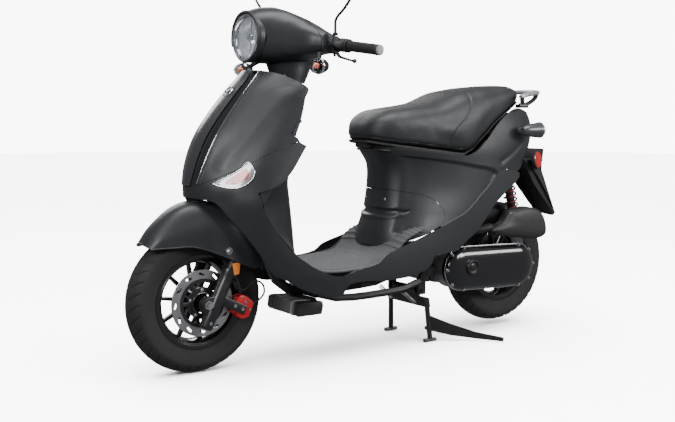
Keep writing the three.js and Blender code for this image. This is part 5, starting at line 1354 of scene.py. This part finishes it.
# ---------------------------------------------------------------- rear shock
SHOCK_TOP, SHOCK_FOOT = np.array((-548, 80, 545)), np.array((-604, 80, 318))
shock_axis = (SHOCK_FOOT - SHOCK_TOP) / np.linalg.norm(SHOCK_FOOT - SHOCK_TOP)
COIL_TURNS, COIL_POINTS, WIRE_RADIUS, COIL_RADIUS = 8.0, 8 * 28 + 1, 3.5, 21.5
t = np.linspace(0, 1, COIL_POINTS)
coil_angle = COIL_TURNS * TURN * t
sway = np.cross(shock_axis, Y_AXIS)
centre_line = SHOCK_TOP + np.outer(30 + 162 * t, shock_axis)
helix = centre_line + COIL_RADIUS * (np.outer(np.cos(coil_angle),
                                              Y_AXIS) + np.outer(np.sin(coil_angle), sway))
spring = piece("shock_spring_coil", [tube(helix, WIRE_RADIUS, 12)], SPRING, "shock_body",
               ["shock_spring"], angle=60)
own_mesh(spring)


# ---------------------------------------------------------------- stand, canister and underside
stand_pad = [lathe([(0, 84), (11, 84), (13, 86), (13, 102), (11, 104), (0, 104)], (-206, 0, 44), Y_AXIS, 40)]
piece("stand_stop", stand_pad, RUBBER, "stand")
STAND_SPRING_TURNS = 14
for label, side in HANDS:
    t = np.linspace(0, 1, STAND_SPRING_TURNS * 16 + 1)
    start, end = np.array((-150.0, side * 64, 128)), np.array((-92.0, side * 60, 176))
    run_dir = (end - start) / np.linalg.norm(end - start)
    a, b, _ = frame_of(run_dir)
    wound = start + np.outer(t * np.linalg.norm(end - start), run_dir) + 5.5 * (
        np.outer(np.cos(STAND_SPRING_TURNS * TURN * t),
                 a) + np.outer(np.sin(STAND_SPRING_TURNS * TURN * t), b))
    piece(f"stand_spring_{label}", [tube(wound, 1.5, 8)], STEEL, "frame", angle=60)

canister = [slab([(254, 142.5), (336, 142.5), (342, 152), (338, 182), (328, 187.5), (250, 182),
                  (246, 170)], 160,
                 side_on(-94), 3)]
rings = [slab([(252, 142.2), (337, 142.2), (343, 152), (339, 183), (329, 188.3), (249, 183), (245, 170)], 3.2,
              side_on(-84 + 21 * k), 1) for k in range(7)]
piece("canister_body", canister + rings, GREY, "frame", ["evap_canister"])
cap = slab([(252, 142), (337, 142), (343, 152), (339, 183), (329, 188.4), (249, 183), (245, 170)], 27,
           side_on(67), 4)
strap = slab([(250, 141.4), (339, 141.4), (345, 151), (341, 184), (330, 189.4), (248, 184), (243.6, 170)], 8,
             side_on(50), 1)
piece("canister_cap", [cap, block((252, -60, 180), (272, 60, 188.4), 1)], PLASTIC, "frame")
piece("canister_strap", [strap], RAIL, "frame")
piece("battery_case", [block((60.3, -43.7, 198.3), (199.7, 43.7, 281.7), 3),
                       block((70, -40, 276), (190, 40, 281.9), 1)], PLASTIC, "frame", ["battery"])


# ---------------------------------------------------------------- pieces that close the panel gaps
skirt_grid = smooth_grid(skirt_rows, 110, 70)


def skin_y(grid, x, z):
    """How far out a skin lies at a point of the side view."""
    points = grid.reshape(-1, 3)
    points = points[points[:, 1] > 60]
    return points[np.argmin((points[:, 0] - x) ** 2 + (points[:, 2] - z) ** 2), 1]


sill_rows = []
for x, z in run(SILL[:-1], 5):
    y_body, y_skirt = skin_y(body_grid, x, z), skin_y(skirt_grid, x, z)
    sill_rows.append([(x + 3, y_body - 5, z + 14), (x, y_body - 4.5, z + 2),
                      (x, (y_body + y_skirt) / 2 - 4, z - 3),
                      (x, y_skirt - 4, z - 7), (x - 3, y_skirt - 5, z - 20)])
piece("sill_backing", both([thick(np.array(sill_rows), -2)]), PLASTIC, "frame",
      angle=60)

stations = np.array(SEAT)[::-1]
tops = np.array(BODY_TOP[:8])[::-1]
level = np.argmin(np.abs(body_grid[:, body_grid.shape[1] // 2, 2] - 652))
ring, outward = body_grid[level], normals_of(body_grid)[level]
keep = ring[:, 0] > -395
seal = []
for point, out in zip(ring[keep], outward[keep]):
    x, y = point[:2] - 6.5 * out[:2]
    high = np.interp(point[0], stations[:, 0], stations[:, 2]) - 8.2
    low = np.interp(point[0], tops[:, 0], tops[:, 1]) - 14
    seal.append([(x, y, low), (x, y, (low + high) / 2), (x, y, high)])
piece("seat_seal", [thick(np.array(seal), 2)], RUBBER, "frame", angle=60)
nose = ring[:, 0] > -26
lip_path = [(*(point[:2] + 0.5 * out[:2]), np.interp(point[0], tops[:, 0], tops[:, 1]) - 7)
            for point, out in zip(ring[nose], outward[nose])]
piece("seat_nose_lip", [tube(lip_path[::3], 5.5, 14, 60)], BODY, "frame")

gusset_rows = [
    [(398, 178, 700), (412, 180, 706), (424, 181, 712)],
    [(376, 180, 676), (392, 183, 686), (402, 186, 694)],
    [(384, 181, 660), (386, 184, 661), (390, 187, 662)],
    [(406, 181, 625), (408, 184, 625), (410, 188, 626)],
    [(430, 181, 601), (428, 185, 601), (428, 189, 602)],
    [(458, 180, 578), (458, 184, 576), (458, 187, 577)],
    [(484, 180, 552), (500, 182, 553), (508, 183, 552)],
    [(492, 180, 540), (510, 181, 541), (524, 181, 542)],
    [(502, 180, 525), (514, 180, 524), (522, 180, 522)],
    [(510, 179, 508), (514, 179, 507), (517, 179, 506)],
]
piece("knee_gusset", both([thick(smooth_grid(gusset_rows, 12, 60), 1.6)]), BODY, "frame", angle=60)


# ---------------------------------------------------------------- camera, light and floor
CAMERA_AT = Vector((2.035, 2.750, 0.805))
YAW, PITCH = math.radians(34.74), math.radians(6.0)
FOCAL_PIXELS, FRAME_PIXELS, SENSOR = 1033.1, 675, 36
scene = bpy.context.scene
camera_data = bpy.data.cameras.new("camera")
camera_data.sensor_width = SENSOR
camera_data.lens = SENSOR * FOCAL_PIXELS / FRAME_PIXELS
camera = bpy.data.objects.new("camera", camera_data)
scene.collection.objects.link(camera)
look_along = Vector((-math.sin(YAW) * math.cos(PITCH), -math.cos(YAW) * math.cos(PITCH), -math.sin(PITCH)))
camera.location = CAMERA_AT
camera.rotation_euler = look_along.to_track_quat("-Z", "Y").to_euler()
scene.camera = camera


def lamp(name, kind, place, target, power, size=(1, 1), color=(1, 1, 1)):
    light = bpy.data.lights.new(name, kind)
    if kind == "AREA":
        light.shape = "RECTANGLE"
        light.size, light.size_y = size
    else:
        light.angle = size[0]
    light.energy = power
    light.color = color
    obj = bpy.data.objects.new(name, light)
    scene.collection.objects.link(obj)
    obj.location = place
    obj.rotation_euler = (Vector(target) - Vector(place)).to_track_quat("-Z", "Y").to_euler()
    return obj


def stage_object(name, verts, faces, look):
    mesh = bpy.data.meshes.new(name)
    mesh.from_pydata(verts, [], faces)
    mesh.materials.append(look)
    obj = bpy.data.objects.new(name, mesh)
    scene.collection.objects.link(obj)
    obj.visible_diffuse = obj.visible_glossy = obj.visible_transmission = obj.visible_volume_scatter = False
    return obj


lamp("top_softbox", "AREA", (0.1, 0.5, 3.4), (0, 0, 0.4), 130, (3.0, 1.6))
lamp("key_softbox", "AREA", (3.0, 1.6, 2.0), (0.2, 0, 0.5), 75, (1.0, 1.6))
lamp("side_softbox", "AREA", (-1.6, 3.4, 2.2), (-0.3, 0, 0.5), 70, (1.6, 0.9))
lamp("strip_softbox", "AREA", (-2.0, 2.1, 1.35), (-0.4, 0.1, 0.35), 34, (1.5, 0.5))
lamp("back_softbox", "AREA", (-0.6, -3.2, 2.2), (0, 0, 0.6), 60, (2.6, 1.2))

world = bpy.data.worlds.new("studio")
world.use_nodes = True
scene.world = world
sky = world.node_tree.nodes["Background"].inputs
sky["Color"].default_value = (0.94, 0.96, 1.0, 1)
sky["Strength"].default_value = 0.26

FLOOR_SIZE, DOME_SIZE = 14, 30
BACKDROP_GLOW, WASH_POWER = 9, 27
pale = surface("pale_floor", (0.82, 0.82, 0.82), 0.7, grain=(60, 0.02, 0.2), mottle=0.01, specular=0.1)
edge_angles = np.linspace(0, TURN, 96, False)
floor = stage_object("floor", [(FLOOR_SIZE * math.cos(t), FLOOR_SIZE * math.sin(t), 0) for t in edge_angles],
                     [tuple(range(len(edge_angles)))], pale)
glow = bpy.data.materials.new("backdrop_white")
glow.use_nodes = True
shine = glow.node_tree.nodes["Principled BSDF"].inputs
shine["Base Color"].default_value = (0, 0, 0, 1)
shine["Emission Color"].default_value = (1, 1, 1, 1)
shine["Emission Strength"].default_value = BACKDROP_GLOW
dome_verts, dome_faces = ball((0, 0, 0), DOME_SIZE, segments=48)
dome = stage_object("backdrop", dome_verts.tolist(), dome_faces, glow)
dome.visible_shadow = False

wash = lamp("floor_wash", "SUN", (0, 0, 5), (0, 0, 0), WASH_POWER, (1.6, 0))
only_floor = bpy.data.collections.new("only_floor")
only_floor.objects.link(floor)
wash.light_linking.receiver_collection = only_floor
